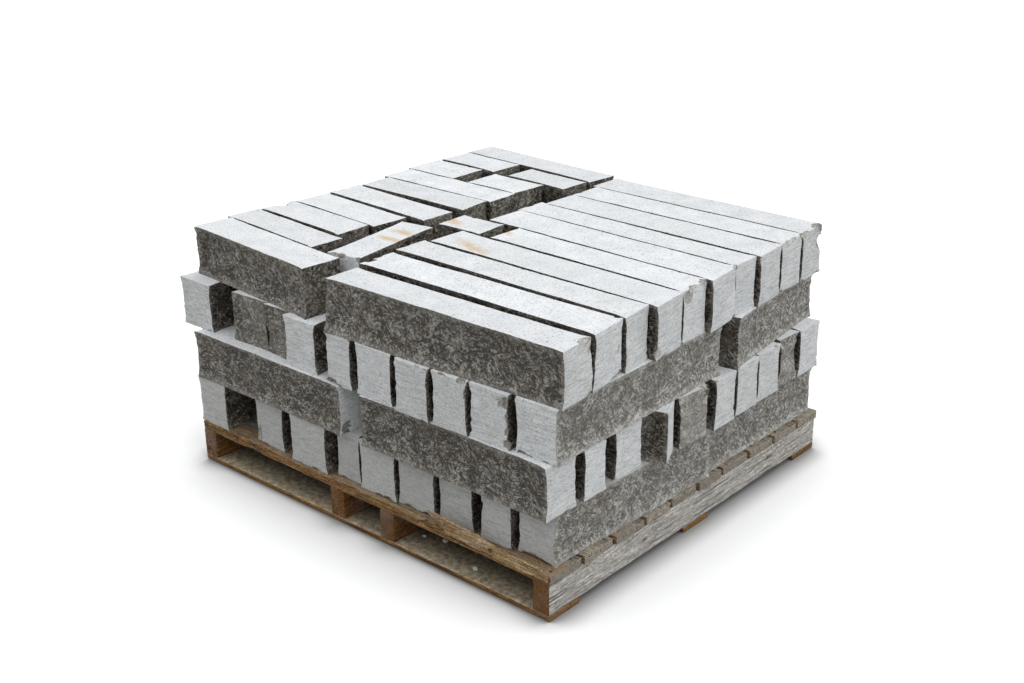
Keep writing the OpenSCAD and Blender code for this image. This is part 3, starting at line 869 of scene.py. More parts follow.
# %% The split face
def split_face(tree, own, clouds):
    """The colour of a split face, its lumps, and its fine texture."""
    # the two split sides face along x or y, so x + y runs along either of them
    axes = add(tree, "SeparateXYZ", {0: own})
    run = add(tree, "Math", {0: axes.outputs["X"], 1: axes.outputs["Y"]})
    face = add(tree, "CombineXYZ", {"X": run, "Z": axes.outputs["Z"]})
    sweep = add(tree, "TexNoise", {"Vector": face, "Scale": 1 / (80 * MM), "Detail": 2.0})
    swept = {0: sweep.outputs["Color"], 1: (0.5, 0.5, 0.5)}
    centred = add(tree, "VectorMath", swept, operation="SUBTRACT")
    fan = {0: centred, 1: (0.035, 0.035, 0.035), 2: face}
    fanned = add(tree, "VectorMath", fan, operation="MULTIPLY_ADD")
    fray = add(
        tree, "TexNoise", {"Vector": own, "Scale": 1 / (5 * MM), "Detail": 3.0, "Roughness": 0.7}
    )
    strokes, flakes = [], []
    for angle in (-0.75, 0.35):
        swung = {"Vector": fanned, "Angle": angle}
        turned = add(tree, "VectorRotate", swung, rotation_type="Y_AXIS")
        drawn = add(tree, "VectorMath", {0: turned, 1: (0.18, 1.0, 1.0)}, operation="MULTIPLY")
        feathery = {"Scale": 1 / (2.8 * MM), "Detail": 4.0, "Roughness": 0.75, "Distortion": 0.15}
        strokes.append(add(tree, "TexNoise", {"Vector": drawn, **feathery}))
        # flakes: ragged cells 6 mm wide and three times as long, each with a level of its own
        long = add(tree, "VectorMath", {0: turned, 1: (0.34, 1.0, 1.0)}, operation="MULTIPLY")
        shifted = {0: fray.outputs["Color"], 1: (0.006, 0.006, 0.006), 2: long}
        torn = add(tree, "VectorMath", shifted, operation="MULTIPLY_ADD")
        cells = add(tree, "TexVoronoi", {"Vector": torn, "Scale": 1 / (6 * MM)})
        level = add(tree, "SeparateXYZ", {0: cells.outputs["Color"]}).outputs["X"]
        tilted = {0: cells.outputs["Distance"], 1: 0.6, 2: level}
        flakes.append(add(tree, "Math", tilted, operation="MULTIPLY_ADD"))
    region = add(tree, "TexNoise", {"Vector": face, "Scale": 1 / (38 * MM), "Detail": 2.0})
    which = add(tree, "MapRange", {"Value": region, "From Min": 0.46, "From Max": 0.54})
    stroke = add(tree, "MixRGB", {"Fac": which, "Color1": strokes[0], "Color2": strokes[1]})
    plate = add(tree, "MixRGB", {"Fac": which, "Color1": flakes[0], "Color2": flakes[1]})
    lumpy = {"Scale": 1 / (30 * MM), "Detail": 3.0, "Roughness": 0.6, "Distortion": 0.8}
    lumps = add(tree, "TexNoise", {"Vector": face, **lumpy})
    flaky = {"Scale": 1 / (7 * MM), "Detail": 6.0, "Roughness": 0.8, "Distortion": 0.6}
    flake = add(tree, "TexNoise", {"Vector": own, **flaky})
    grainy = add(tree, "MixRGB", {"Fac": 0.5, "Color1": stroke, "Color2": flake})
    texture = add(tree, "Math", {0: plate, 1: 0.06, 2: grainy}, operation="MULTIPLY_ADD")
    shade = add(tree, "Math", {0: lumps, 1: 0.22, 2: texture}, operation="MULTIPLY_ADD")
    lit = add(tree, "MapRange", {"Value": shade, "From Min": 0.64, "From Max": 0.728})
    # paler on the open sides of the stack: weather, and painted light strongest on the right side
    pale = add(tree, "Attribute", attribute_name="weathered_and_lit").outputs["Fac"]
    low_tone = add(tree, "MixRGB", {"Fac": pale, "Color1": "#322C26", "Color2": "#7B7872"})
    high_tone = add(tree, "MixRGB", {"Fac": pale, "Color1": "#A59F95", "Color2": "#E2E1DD"})
    rough = add(tree, "MixRGB", {"Fac": lit, "Color1": low_tone, "Color2": high_tone})
    brown = add(
        tree, "MapRange", {"Value": clouds, "From Min": 0.5, "From Max": 0.72, "To Max": 0.4}
    )
    earthy = add(tree, "MixRGB", {"Fac": brown, "Color1": rough, "Color2": "#6E5C46"})
    # painted shade: the deeper hollows of the relief are painted darker
    hollow = add(tree, "Attribute", attribute_name="hollow").outputs["Fac"]
    frayed = add(tree, "Math", {0: texture, 1: -6 * MM, 2: hollow}, operation="MULTIPLY_ADD")
    sunken = {"From Min": 1.5 * MM, "From Max": 6.0 * MM, "To Max": 0.45}
    painted_hollow_shade = add(tree, "MapRange", {"Value": frayed, **sunken})
    hollow_shaded = add(tree, "MixRGB", {"Fac": painted_hollow_shade, "Color1": earthy, "Color2": low_tone})
    # painted highlight: the crests of the relief are painted paler
    crest = {"From Min": 0.5 * MM, "From Max": -1.5 * MM, "To Max": 0.25}
    painted_crest_light = add(tree, "MapRange", {"Value": frayed, **crest})
    crest_lit = add(tree, "MixRGB", {"Fac": painted_crest_light, "Color1": hollow_shaded, "Color2": high_tone})
    # painted glints: the palest flecks stand for small faces that catch the light
    painted_glint = add(
        tree, "MapRange", {"Value": texture, "From Min": 0.61, "From Max": 0.65, "To Max": 0.85}
    )
    flecked = add(tree, "MixRGB", {"Fac": painted_glint, "Color1": crest_lit, "Color2": "#DCD8D0"})
    return flecked, lumps, texture


print("strokes 3 mm wide, flakes 6 mm wide")

# %% [markdown]
# ## The two finishes of a stone
#
# Chips are broken stone on a sawn face, so the sawn finish holds the split one too, and shows
# it where a chip has cut in. The offset of each stone shifts every pattern, so that no two
# stones are alike.


# %% Two finishes of limestone
def limestone(name, split):
    """The finish of one face of the stone: sawn, or split by a wedge."""
    material, tree = new_material(name)
    place = add(tree, "TexCoord").outputs["Object"]
    offset = add(tree, "Attribute", attribute_name="own_offset").outputs["Fac"]
    spread = add(tree, "VectorMath", {0: (13.0, 7.0, 3.0), 1: offset}, operation="MULTIPLY")
    own = add(tree, "VectorMath", {0: place, 1: spread}, operation="ADD")
    clouds = add(
        tree, "TexNoise", {"Vector": own, "Scale": 1 / (60 * MM), "Detail": 4.0, "Roughness": 0.6}
    )
    torn, lumps, texture = split_face(tree, own, clouds)
    if split:
        colour = torn
        height = add(tree, "Math", {0: lumps, 1: 1.4, 2: texture}, operation="MULTIPLY_ADD")
        bump = add(tree, "Bump", {"Height": height, "Strength": 1.0, "Distance": 9 * MM})
    else:
        fine = {"Scale": 1 / (2.5 * MM), "Detail": 3.0, "Roughness": 0.7}
        grain = add(tree, "TexNoise", {"Vector": own, **fine})
        sawn, pitted = sawn_face(tree, own, clouds, grain)
        chip = add(tree, "Attribute", attribute_name="chipped").outputs["Fac"]
        ragged = add(
            tree, "TexNoise", {"Vector": own, "Scale": 1 / (6 * MM), "Detail": 3.0, "Roughness": 0.7}
        )
        rim = add(tree, "Math", {0: ragged, 1: -4.0 * MM, 2: chip}, operation="MULTIPLY_ADD")
        broken = add(tree, "MapRange", {"Value": rim, "From Min": -1.5 * MM, "From Max": -1.2 * MM})
        # a chip is fresher than the split sides, so it is greyer and paler
        fresh = add(tree, "MixRGB", {"Fac": 0.25, "Color1": torn, "Color2": "#A6A7A5"})
        colour = add(tree, "MixRGB", {"Fac": broken, "Color1": sawn, "Color2": fresh})
        sunk = add(tree, "Math", {0: pitted, 1: -1.2, 2: grain}, operation="MULTIPLY_ADD")
        bump = add(tree, "Bump", {"Height": sunk, "Strength": 0.35, "Distance": 0.8 * MM})
    matt = {"Roughness": 0.85, "Specular IOR Level": 0.3}
    surface = add(tree, "BsdfPrincipled", {"Base Color": colour, "Normal": bump, **matt})
    add(tree, "OutputMaterial", {"Surface": surface})
    return material


sawn_limestone = limestone("sawn limestone", split=False)
split_limestone = limestone("split limestone", split=True)
for made in (sawn_limestone, split_limestone):
    print(made.name, "has", len(made.node_tree.nodes), "nodes")

# %% [markdown]
# ## Building the rows
#
# All the stones of a CAD row become one piece, which takes the place of that row's node. Six
# numbers are kept with each point: how deep a chip has cut there, how deep the relief lies, a
# tone and an offset for its stone, how rusty it is, and how pale it is painted, by weather and
# by painted light.

# %% Build the rows
# The bottom course is darker than the courses above
BOTTOM_COURSE_DARKER, TONE_SPREAD = 0.7, 0.3

stone_nodes = sorted(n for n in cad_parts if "course" in n)
total = 0
for number, node in enumerate(stone_nodes):
    stones = []
    for k, (corners, triangles) in enumerate(islands(node)):
        stones.append(build_stone(node, corners, triangles, 1000 * number + 50 * k))
    points, split, chipped, hollow = (np.concatenate([s[k] for s in stones]) for k in (0, 2, 3, 4))
    sizes = [len(stone[0]) for stone in stones]
    starts = np.cumsum([0] + sizes)
    quads = np.vstack([stone[1] + start for stone, start in zip(stones, starts)])
    both = [sawn_limestone, split_limestone]
    piece = new_piece(node + "_stones", points, quads.tolist(), both, "stone")
    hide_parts(node)
    mesh, each = piece.data, np.arange(len(stones))
    mesh.polygons.foreach_set("material_index", split.astype(np.int32))
    tone = TONE_SPREAD * chance(each, number, 6)
    if node.startswith("bottom_course"):
        tone = BOTTOM_COURSE_DARKER + tone
    keep_value(mesh, "chipped", chipped)
    keep_value(mesh, "hollow", hollow)
    keep_value(mesh, "own_offset", np.repeat(chance(each, number, 5), sizes))
    keep_value(mesh, "own_tone", np.repeat(tone, sizes))
    keep_value(mesh, "rust", rust_at(points))
    # how pale each point is painted, by weather and by painted light
    keep_value(mesh, "weathered_and_lit", weathered_and_lit(mesh))
    sharpen(mesh, split.astype(int))
    mesh.polygons.foreach_set("use_smooth", ~split)
    total += 2 * len(quads)
print("stone rows:", len(stone_nodes), "triangles:", total)

# %% [markdown]
# ## The pallet's timber
#
# Boards and stringers are rough-sawn pine. Each is a grid block like a stone, in its own axes:
# u runs along the grain, v across it and w through the thickness. Handling has rounded every
# edge by a few millimetres, more in some places than in others, and rain has washed the soft
# early wood out of the surface, which leaves shallow furrows along the grain.
# How grey a point is depends on which way it faces: the outside of the right stringer has
# been bleached by the sun, tops are grey, and what faces inwards keeps the colour of new wood.

# %% Worn and weathered timber
BOARD_NEAR = np.array([0, 0.0012, 0.003, 0.006])
WORN, FURROW = 0.0024, 0.0005
# Grid steps along, across and up; along, the torn board's are finer
BOARD_STEP, FINE_STEP, WIDE_STEP, HIGH_STEP = 0.018, 0.004, 0.009, 0.004
FRONT = cad_box[0][1]
# Stringers show their outer faces beyond this x, and above this z
OUTER_FACE, FACE_FOOT = 0.595, 0.018
# How grey timber is on its outer faces, between them, on the scuffed strip and at the front
BLEACHED, SHELTERED, SCUFFED, FRESH = 0.95, 0.12, 0.25, 0.14
# Knots that show: x, y, z, radius
KNOTS = [
    (0.612, -0.210, 0.055, 0.008),
    (0.612, 0.330, 0.060, 0.010),
    (-0.470, -0.560, 0.106, 0.011),
    (0.440, -0.560, 0.117, 0.008),
    (-0.597, -0.560, 0.036, 0.010),
    (0.360, -0.560, 0.008, 0.008),
]


def round_foot(points, width, radius):
    """Rounds the two lower long edges of a board to that radius."""
    core = np.clip(points[:, 1], radius, width - radius)
    gap = np.column_stack([points[:, 1] - core, np.minimum(points[:, 2] - radius, 0)])
    reach = np.maximum(np.linalg.norm(gap, axis=1), 1e-9)
    shrink = np.minimum(1, radius / reach)
    points[:, 1] = core + gap[:, 0] * shrink
    low = points[:, 2] < radius
    points[low, 2] = radius + gap[low, 1] * shrink[low]


def round_edges(points, size, radius):
    """Rounds all edges of a block, by one radius a point. Returns which way each point faces."""
    r = radius[:, None]
    core = np.minimum(np.maximum(points, r), size - r)
    gap = points - core
    reach = np.maximum(np.linalg.norm(gap, axis=1, keepdims=True), 1e-9)
    points[:] = core + gap * np.minimum(1, r / reach)
    return gap / reach


def weathering(world, out):
    """How grey each point is, from 0 for new wood to 1 for bleached."""
    grey = 0.35 + 0.45 * np.clip(out[:, 2], 0, 1)
    sideways = np.abs(out[:, 0]) > 0.6
    outside = (np.abs(world[:, 0]) > OUTER_FACE) & (world[:, 2] > FACE_FOOT)
    grey = np.where(sideways, np.where(outside, BLEACHED, SHELTERED), grey)
    # the strip in front of the stones has lost its grey to the forks and the rain off the stack
    scuffed = (world[:, 1] < FRONT + 0.06) & (world[:, 2] > 0.06)
    grey = np.where(scuffed & ~sideways, SCUFFED, grey)
    return np.where((out[:, 1] < -0.6) & (world[:, 1] < FRONT + 0.03), FRESH, grey)


def knot_at(world):
    """How far inside a knot each point is: 1 at its heart, 0 outside."""
    inside = np.zeros(len(world))
    for x, y, z, radius in KNOTS:
        far = np.linalg.norm((world - (x, y, z)) * (1, 0.7, 1), axis=1)
        inside = np.maximum(inside, 1.25 - far / radius)
    return np.clip(inside, 0, 1)


def keep_grain(mesh, points, grey, tone, offset=0.0):
    """Stores what the wood's material needs. points lie in the wood, with x along the grain."""
    at = mesh.attributes.new("grain_at", "FLOAT_VECTOR", "POINT")
    at.data.foreach_set("vector", np.asarray(points, np.float32).ravel())
    keep_value(mesh, "grey", grey)
    keep_value(mesh, "own_tone", tone)
    keep_value(mesh, "own_offset", offset)


def timber(node, along_y, seed, material, record_slot, foot=0.0, step=BOARD_STEP, torn=None):
    """Makes the worn skin of one board or stringer, in place of its CAD node."""
    low, high = (np.array(corner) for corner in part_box(node))
    size = (high - low)[[1, 0, 2]] if along_y else high - low
    s, t = grid_lines(size[0], step, BOARD_NEAR), grid_lines(size[2], HIGH_STEP, BOARD_NEAR)
    u, w = np.meshgrid(s * size[0], t * size[2], indexing="ij")
    side0, side1 = np.stack([u, 0 * u, w], -1), np.stack([u, 0 * u + size[1], w], -1)
    points, quads, _ = block(side0, side1, grid_lines(size[1], WIDE_STEP, BOARD_NEAR))
    if foot:
        round_foot(points, size[1], foot)
    edge = WORN * (1.1 + 0.8 * swell(points[:, 0], points[:, 1] + points[:, 2], 0.03, seed))
    out = round_edges(points, size, edge)
    round_it = points[:, 1] + 1.3 * points[:, 2]
    furrow = FURROW * (1 + swell(points[:, 0] / 9, round_it, 0.006, seed + 1))
    points -= out * furrow[:, None]
    if torn is not None:
        torn(points, low)
    world = low + points
    if along_y:
        world = np.column_stack([high[0] - points[:, 1], low[1] + points[:, 0], world[:, 2]])
        out = np.column_stack([-out[:, 1], out[:, 0], out[:, 2]])
    made = new_piece(node + "_timber", world, quads.tolist(), [material], record_slot)
    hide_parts(node)
    keep_grain(made.data, points, weathering(world, out), chance(seed, 4), chance(seed, 3))
    keep_value(made.data, "knot", knot_at(world))
    made.data.shade_smooth()


print("boards and stringers:", sum("board" in n or "stringer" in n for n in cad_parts))

# %% [markdown]
# Forklift tines have torn the front of the leading deck board. Wood tears along its grain, so
# the damage is long and thin: ledges a few millimetres deep, and one long splinter that has
# sprung up out of the edge.

# %% The torn front of the leading board
# Tears: from x to x, from z to z, and how deep
TEARS = [
    (-0.600, -0.540, 0.106, 0.116, 0.004),
    (-0.545, -0.400, 0.099, 0.116, 0.009),
    (-0.400, -0.300, 0.104, 0.116, 0.006),
    (-0.430, -0.360, 0.090, 0.104, 0.006),
    (-0.220, -0.120, 0.108, 0.116, 0.003),
    (-0.110, 0.020, 0.100, 0.116, 0.006),
    (0.020, 0.130, 0.110, 0.116, 0.004),
    (0.200, 0.620, 0.101, 0.116, 0.009),
    (0.300, 0.480, 0.090, 0.104, 0.004),
]


def tear_front(points, low):
    """Presses the board's front skin back where it is torn, with ragged ledges."""
    x, z = low[0] + points[:, 0], low[2] + points[:, 2]
    ragged = swell(x, 6 * z, 0.02, 71)
    deep = np.zeros(len(points))
    for start, stop, bottom, top, depth in TEARS:
        along = np.clip((np.minimum(x - start, stop - x) + 0.02 * ragged) / 0.012, 0, 1)
        up = np.clip((np.minimum(z - bottom, top - z) + 0.002 * ragged) / 0.0015 + 0.5, 0, 1)
        rough = 0.45 + 0.35 * swell(x / 4, 2 * z, 0.006, 72) + 0.6 * scoops(x / 2.5, z, 0.007, 73)
        deep = np.maximum(deep, depth * along * up * rough)
    points[:, 1] = np.maximum(points[:, 1], deep)


print("tears in the leading board:", len(TEARS))

# %% [markdown]
# The splinter is a thin strip of wood that follows a line of stations. It stands highest at
# its sprung tip on the left and runs back into the board on the right. A second strip below
# it has split too, but has kept its place.

# %% Splinters, as (x, lower z, upper z) in metres
SPLINTER = [
    (0.243, 0.1475, 0.1495),
    (0.261, 0.1374, 0.1496),
    (0.288, 0.1306, 0.1490),
    (0.296, 0.1160, 0.1482),
    (0.305, 0.1080, 0.1474),
    (0.333, 0.1145, 0.1450),
    (0.356, 0.1132, 0.1428),
    (0.377, 0.1121, 0.1411),
    (0.404, 0.1119, 0.1389),
    (0.438, 0.1117, 0.1331),
    (0.464, 0.1089, 0.1294),
    (0.498, 0.1113, 0.1266),
    (0.531, 0.1190, 0.1281),
    (0.544, 0.1222, 0.1276),
    (0.580, 0.1240, 0.1261),
]
STRIP = [
    (0.264, 0.1067, 0.1080),
    (0.305, 0.1071, 0.1090),
    (0.333, 0.1092, 0.1145),
    (0.377, 0.1046, 0.1121),
    (0.429, 0.1065, 0.1118),
    (0.478, 0.1001, 0.1100),
    (0.543, 0.1006, 0.1215),
    (0.576, 0.1012, 0.1235),
    (0.605, 0.1000, 0.1160),
]


SLIVER_THICK, SLIVER_TAPER = 0.005, 0.1


def sliver(name, line, seed, material):
    """A thin split piece of wood along the front of the leading board."""
    line = np.array(line)
    x = np.linspace(line[0, 0], line[-1, 0], 90)
    low, high = np.interp(x, line[:, 0], line[:, 1]), np.interp(x, line[:, 0], line[:, 2])
    fray = 0.0012 * swell(x, x * 0, 0.008, seed)
    t = np.linspace(0, 1, 9)
    z = low[:, None] + (high - low)[:, None] * t + fray[:, None] * (2 * t - 1)
    xs = np.repeat(x[:, None], len(t), 1)
    front = FRONT + 0.0004 + 0.0012 * (1 + swell(xs / 7, z, 0.004, seed + 1))
    thick = SLIVER_THICK * np.clip((x - x[0]) / SLIVER_TAPER, 0.25, 1)[:, None]
    side0, side1 = np.stack([xs, front, z], -1), np.stack([xs, front + thick, z], -1)
    points, quads, _ = block(side0, side1, np.linspace(0, 1, 4))
    made = new_piece(name, points, quads.tolist(), [material], "deck_wood")
    keep_grain(made.data, points, 0.2, 0.2, chance(seed, 3))
    keep_value(made.data, "knot", knot_at(points))
    made.data.shade_smooth()


print("stations of the splinters:", len(SPLINTER), "and", len(STRIP))

# %% [markdown]
# Where wood has torn, single fibres stand out of it like coarse hair. Each is a thin
# three-sided spike, straight or slightly bowed, and they stand together in tufts.

# %% Tufts of torn fibre: x, z, spread along x, how many, longest, how thick
TUFTS = [
    (0.596, 0.118, 0.020, 14, 0.050, 0.0013),
    (0.583, 0.102, 0.012, 7, 0.045, 0.0013),
    (0.560, 0.122, 0.030, 12, 0.026, 0.0008),
    (0.300, 0.128, 0.030, 12, 0.030, 0.0008),
    (-0.460, 0.108, 0.060, 26, 0.030, 0.0009),
    (-0.380, 0.104, 0.050, 16, 0.024, 0.0009),
    (-0.170, 0.110, 0.040, 14, 0.020, 0.0008),
    (-0.040, 0.110, 0.050, 18, 0.024, 0.0009),
    (0.440, 0.108, 0.060, 16, 0.028, 0.0008),
]
# Points along a fibre
STATIONS = 5


def tufts(seed):
    """All the fibres, as points and faces."""
    points, faces = [], []
    for x, z, spread, count, longest, stout in TUFTS:
        for n in range(count):
            r = chance(seed, round(1e4 * x) % 9973, n, np.arange(9))
            off_x, off_z, way_x, way_z, bend = 2 * r[[0, 2, 3, 5, 7]] - 1
            start = np.array([x + spread * off_x, FRONT - 0.001 * r[1], z + 0.006 * off_z])
            way = np.array([way_x, -0.08 * r[4], 0.8 * way_z])
            reach = longest * (0.4 + 0.6 * r[6])
            bow = np.array([0, 0, 0.25 * bend])
            first = len(points)
            for t in np.arange(STATIONS) / (STATIONS - 1):
                middle = start + reach * (t * way + t * t * bow)
                thick = stout * (1 - 0.92 * t) * (0.6 + 0.8 * r[8])
                for turn in 2 * np.pi * np.arange(3) / 3:
                    points.append(middle + thick * np.array([0, math.cos(turn), math.sin(turn)]))
            last = first + 3 * (STATIONS - 1)
            for ring in range(first, last, 3):
                for k in range(3):
                    a, b = ring + k, ring + (k + 1) % 3
                    faces.append((a, b, b + 3, a + 3))
            faces += [(first + 2, first + 1, first), (last, last + 1, last + 2)]
    return np.array(points), faces


print("torn fibres:", sum(tuft[3] for tuft in TUFTS))

# %% [markdown]
# ## Crumbs and nails
#
# A few crumbs of stone lie on the pallet's foot board, knocked off the edges above. The nails
# are driven through the deck boards into the outer stringers, two at each end of a board,
# and show by the side of the stack.

# %% Crumbs and nails
CRUMBS = [(0.161, -0.493, 0.0045), (0.217, -0.478, 0.006), (0.355, -0.521, 0.005)]
NAIL_IN = 0.014
# A nail head, from its foot to its flat top: radius, and height over the wood
NAIL_RINGS = ((0.004, -0.0008), (0.004, 0.0002), (0.0034, 0.0006))
NAIL_SIDES = 12


def crumb(x, y, z, radius, seed):
    """A crumb of stone: a ball with its faces pushed about, resting at height z."""
    work = bmesh.new()
    bmesh.ops.create_icosphere(work, subdivisions=3, radius=1)
    points = np.array([v.co for v in work.verts])
    faces = [tuple(v.index for v in face.verts) for face in work.faces]
    work.free()
    push = swell(points[:, 0] + points[:, 2], points[:, 1] - points[:, 2], 0.7, seed)
    points *= 1 + 0.35 * push[:, None]
    points *= radius * np.array([1.2, 0.9, 0.7])
    return points + (x, y, z - points[:, 2].min()), faces


def nail_spots():
    """Two places at each end of each deck board, over the outer stringers."""
    spots = []
    for node in sorted(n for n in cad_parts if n.startswith("deck_board")):
        (left, front, _), (right, back, top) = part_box(node)
        seed = int(node.split("_")[-1])
        for x, side in ((left + NAIL_IN, 1), (right - NAIL_IN, -1)):
            for k, share in enumerate((0.2, 0.8)):
                r = chance(seed, k, side, np.arange(2))
                y = front + (share + 0.1 * (r[1] - 0.5)) * (back - front)
                spots.append((x + side * 0.006 * r[0], y, top))
    return spots


def nail_heads(spots):
    """Round nail heads 8 mm across, proud of the wood by half a millimetre."""
    points, faces = [], []
    turns = 2 * np.pi * np.arange(NAIL_SIDES) / NAIL_SIDES
    for x, y, z in spots:
        first, last = len(points), len(points) + 2 * NAIL_SIDES
        for radius, up in NAIL_RINGS:
            points += [(x + radius * math.cos(t), y + radius * math.sin(t), z + up) for t in turns]
        for k in range(NAIL_SIDES):
            for ring in range(first, last, NAIL_SIDES):
                a, b = ring + k, ring + (k + 1) % NAIL_SIDES
                faces.append((a, b, b + NAIL_SIDES, a + NAIL_SIDES))
        faces.append(tuple(range(last, last + NAIL_SIDES)))
        faces.append(tuple(range(first + NAIL_SIDES - 1, first - 1, -1)))
    return np.array(points), faces


print("nails:", len(nail_spots()), "crumbs:", len(CRUMBS))

# %% [markdown]
# ## Pine
#
# One pattern gives both the flame figure on a board's face and the rings on its end: growth
# rings are cylinders round the log's heart, which lies a little outside the board. Rings are
# 4 mm apart. Over them go fibres 2 mm wide, drawn out along the grain, the nap that the saw
# has raised, and dark drying cracks. The eye takes in a dry, furry surface with long streaks.
# Grey, bleached wood and new, brown wood have the same figure, so the two are mixed by the
# value kept with each point. The fibres are drawn coarser than they are, so that they show.

# %% Pine
# How far apart the rings of a wave node are at scale 1
RING_GAP = 0.314


def pine(name, new_light, new_dark, grey_light, grey_dark, dust=0.0):
    """Rough-sawn pine: light and dark new wood, light and dark bleached wood, dust on top."""
    material, tree = new_material(name)
    place = add(tree, "Attribute", attribute_name="grain_at").outputs["Vector"]
    offset = add(tree, "Attribute", attribute_name="own_offset").outputs["Fac"]
    tone = add(tree, "Attribute", attribute_name="own_tone").outputs["Fac"]
    grey = add(tree, "Attribute", attribute_name="grey").outputs["Fac"]
    knot = add(tree, "Attribute", attribute_name="knot").outputs["Fac"]
    spread = add(tree, "VectorMath", {0: (5.0, 0.11, 0.07), 1: offset}, operation="MULTIPLY")
    own = add(tree, "VectorMath", {0: place, 1: spread}, operation="ADD")
    # the log's heart: beside and below the board
    heart = add(tree, "VectorMath", {0: own, 1: (0.0, 0.02, 0.045)}, operation="ADD")
    bent = add(tree, "VectorMath", {0: heart, 1: (0.09, 1.0, 1.0)}, operation="MULTIPLY")
    waves = {"Vector": bent, "Scale": RING_GAP / (4 * MM), "Distortion": 5.0, "Detail": 4.0}
    waves |= {"Detail Scale": 0.7, "Detail Roughness": 0.6}
    drawn = {"wave_type": "RINGS", "rings_direction": "X", "wave_profile": "SAW"}
    rings = add(tree, "TexWave", waves, **drawn)
    thin = add(tree, "VectorMath", {0: own, 1: (0.03, 1.0, 1.0)}, operation="MULTIPLY")
    fibres = add(
        tree, "TexNoise", {"Vector": thin, "Scale": 1 / (2.2 * MM), "Detail": 4.0, "Roughness": 0.7}
    )
    drying = {"Scale": 1 / (6 * MM), "Detail": 3.0, "Roughness": 0.6, "Distortion": 0.4}
    splits = add(tree, "TexNoise", {"Vector": thin, **drying})
    blotch = add(
        tree, "TexNoise", {"Vector": own, "Scale": 1 / (70 * MM), "Detail": 4.0, "Roughness": 0.6}
    )

    dark_part = {"From Min": 0.25, "From Max": 1.0, "To Max": 0.28}
    late = add(tree, "MapRange", {"Value": rings.outputs["Fac"], **dark_part})
    figure = add(tree, "Math", {0: fibres, 1: 1.65, 2: late}, operation="MULTIPLY_ADD")
    depth = add(tree, "MapRange", {"Value": figure, "From Min": 0.68, "From Max": 1.12})
    new = add(tree, "MixRGB", {"Fac": depth, "Color1": new_light, "Color2": new_dark})
    old = add(tree, "MixRGB", {"Fac": depth, "Color1": grey_light, "Color2": grey_dark})
    # bleaching is patchy, so the kept value is shifted by a slow noise
    shifted = add(tree, "Math", {0: blotch, 1: 0.7, 2: grey}, operation="MULTIPLY_ADD")
    greyness = add(tree, "MapRange", {"Value": shifted, "From Min": 0.45, "From Max": 1.15})
    wood = add(tree, "MixRGB", {"Fac": greyness, "Color1": new, "Color2": old})
    toned = add(tree, "MapRange", {"Value": tone, "To Min": 0.82, "To Max": 1.12})
    # long streaks, where some fibres have kept more of the wet than others
    streaky = add(tree, "VectorMath", {0: own, 1: (0.06, 1.0, 1.0)}, operation="MULTIPLY")
    streaks = add(
        tree, "TexNoise", {"Vector": streaky, "Scale": 1 / (9 * MM), "Detail": 4.0, "Roughness": 0.7}
    )
    wet = {"From Min": 0.35, "From Max": 0.65, "To Min": 0.84, "To Max": 1.13}
    streak = add(tree, "MapRange", {"Value": streaks, **wet})
    # the nap: short fibres the saw has raised, each a little lighter or darker than the next
    short = add(tree, "VectorMath", {0: own, 1: (0.35, 1.0, 1.0)}, operation="MULTIPLY")
    raised = add(
        tree, "TexNoise", {"Vector": short, "Scale": 1 / (3 * MM), "Detail": 5.0, "Roughness": 0.8}
    )
    furry = {"From Min": 0.41, "From Max": 0.6, "To Min": 0.5, "To Max": 1.38}
    nap = add(tree, "MapRange", {"Value": raised, **furry})
    napped = add(tree, "Math", {0: toned, 1: nap}, operation="MULTIPLY")
    mixed_tone = add(tree, "Math", {0: napped, 1: streak}, operation="MULTIPLY")
    varied = add(tree, "VectorMath", {0: wood, 1: mixed_tone}, operation="MULTIPLY")
    crack = add(
        tree, "MapRange", {"Value": splits, "From Min": 0.58, "From Max": 0.66, "To Max": 0.8}
    )
    cracked = add(tree, "MixRGB", {"Fac": crack, "Color1": varied, "Color2": "#3A2C20"})
    settled = add(
        tree, "TexNoise", {"Vector": own, "Scale": 1 / (14 * MM), "Detail": 6.0, "Roughness": 0.75}
    )
    dust_tone = add(tree, "MapRange", {"Value": settled, "From Min": 0.36, "From Max": 0.64})
    dust_colour = add(tree, "MixRGB", {"Fac": dust_tone, "Color1": "#665C4C", "Color2": "#B3A78F"})
    up = add(tree, "SeparateXYZ", {0: add(tree, "NewGeometry").outputs["Normal"]}).outputs["Z"]
    lying = add(tree, "MapRange", {"Value": up, "From Min": 0.5, "From Max": 0.9, "To Max": dust})
    # dust is painted lighter by the board's front edge and darker towards its back, under the
    # stack: painted light and painted shade
    from_front = add(tree, "SeparateXYZ", {0: place}).outputs["Y"]
    painted_shade_range = {"From Min": 0.0, "From Max": 0.1, "To Min": 1.45, "To Max": 0.38}
    fade = add(tree, "MapRange", {"Value": from_front, **painted_shade_range})
    dust_with_painted_light = add(tree, "VectorMath", {0: dust_colour, 1: fade}, operation="MULTIPLY")
    dusted = add(tree, "MixRGB", {"Fac": lying, "Color1": cracked, "Color2": dust_with_painted_light})
    knotty = add(tree, "Math", {0: fibres, 1: 0.5, 2: knot}, operation="MULTIPLY_ADD")
    in_knot = add(
        tree, "MapRange", {"Value": knotty, "From Min": 0.45, "From Max": 0.9, "To Max": 0.85}
    )
    colour = add(tree, "MixRGB", {"Fac": in_knot, "Color1": dusted, "Color2": "#4A2E18"})

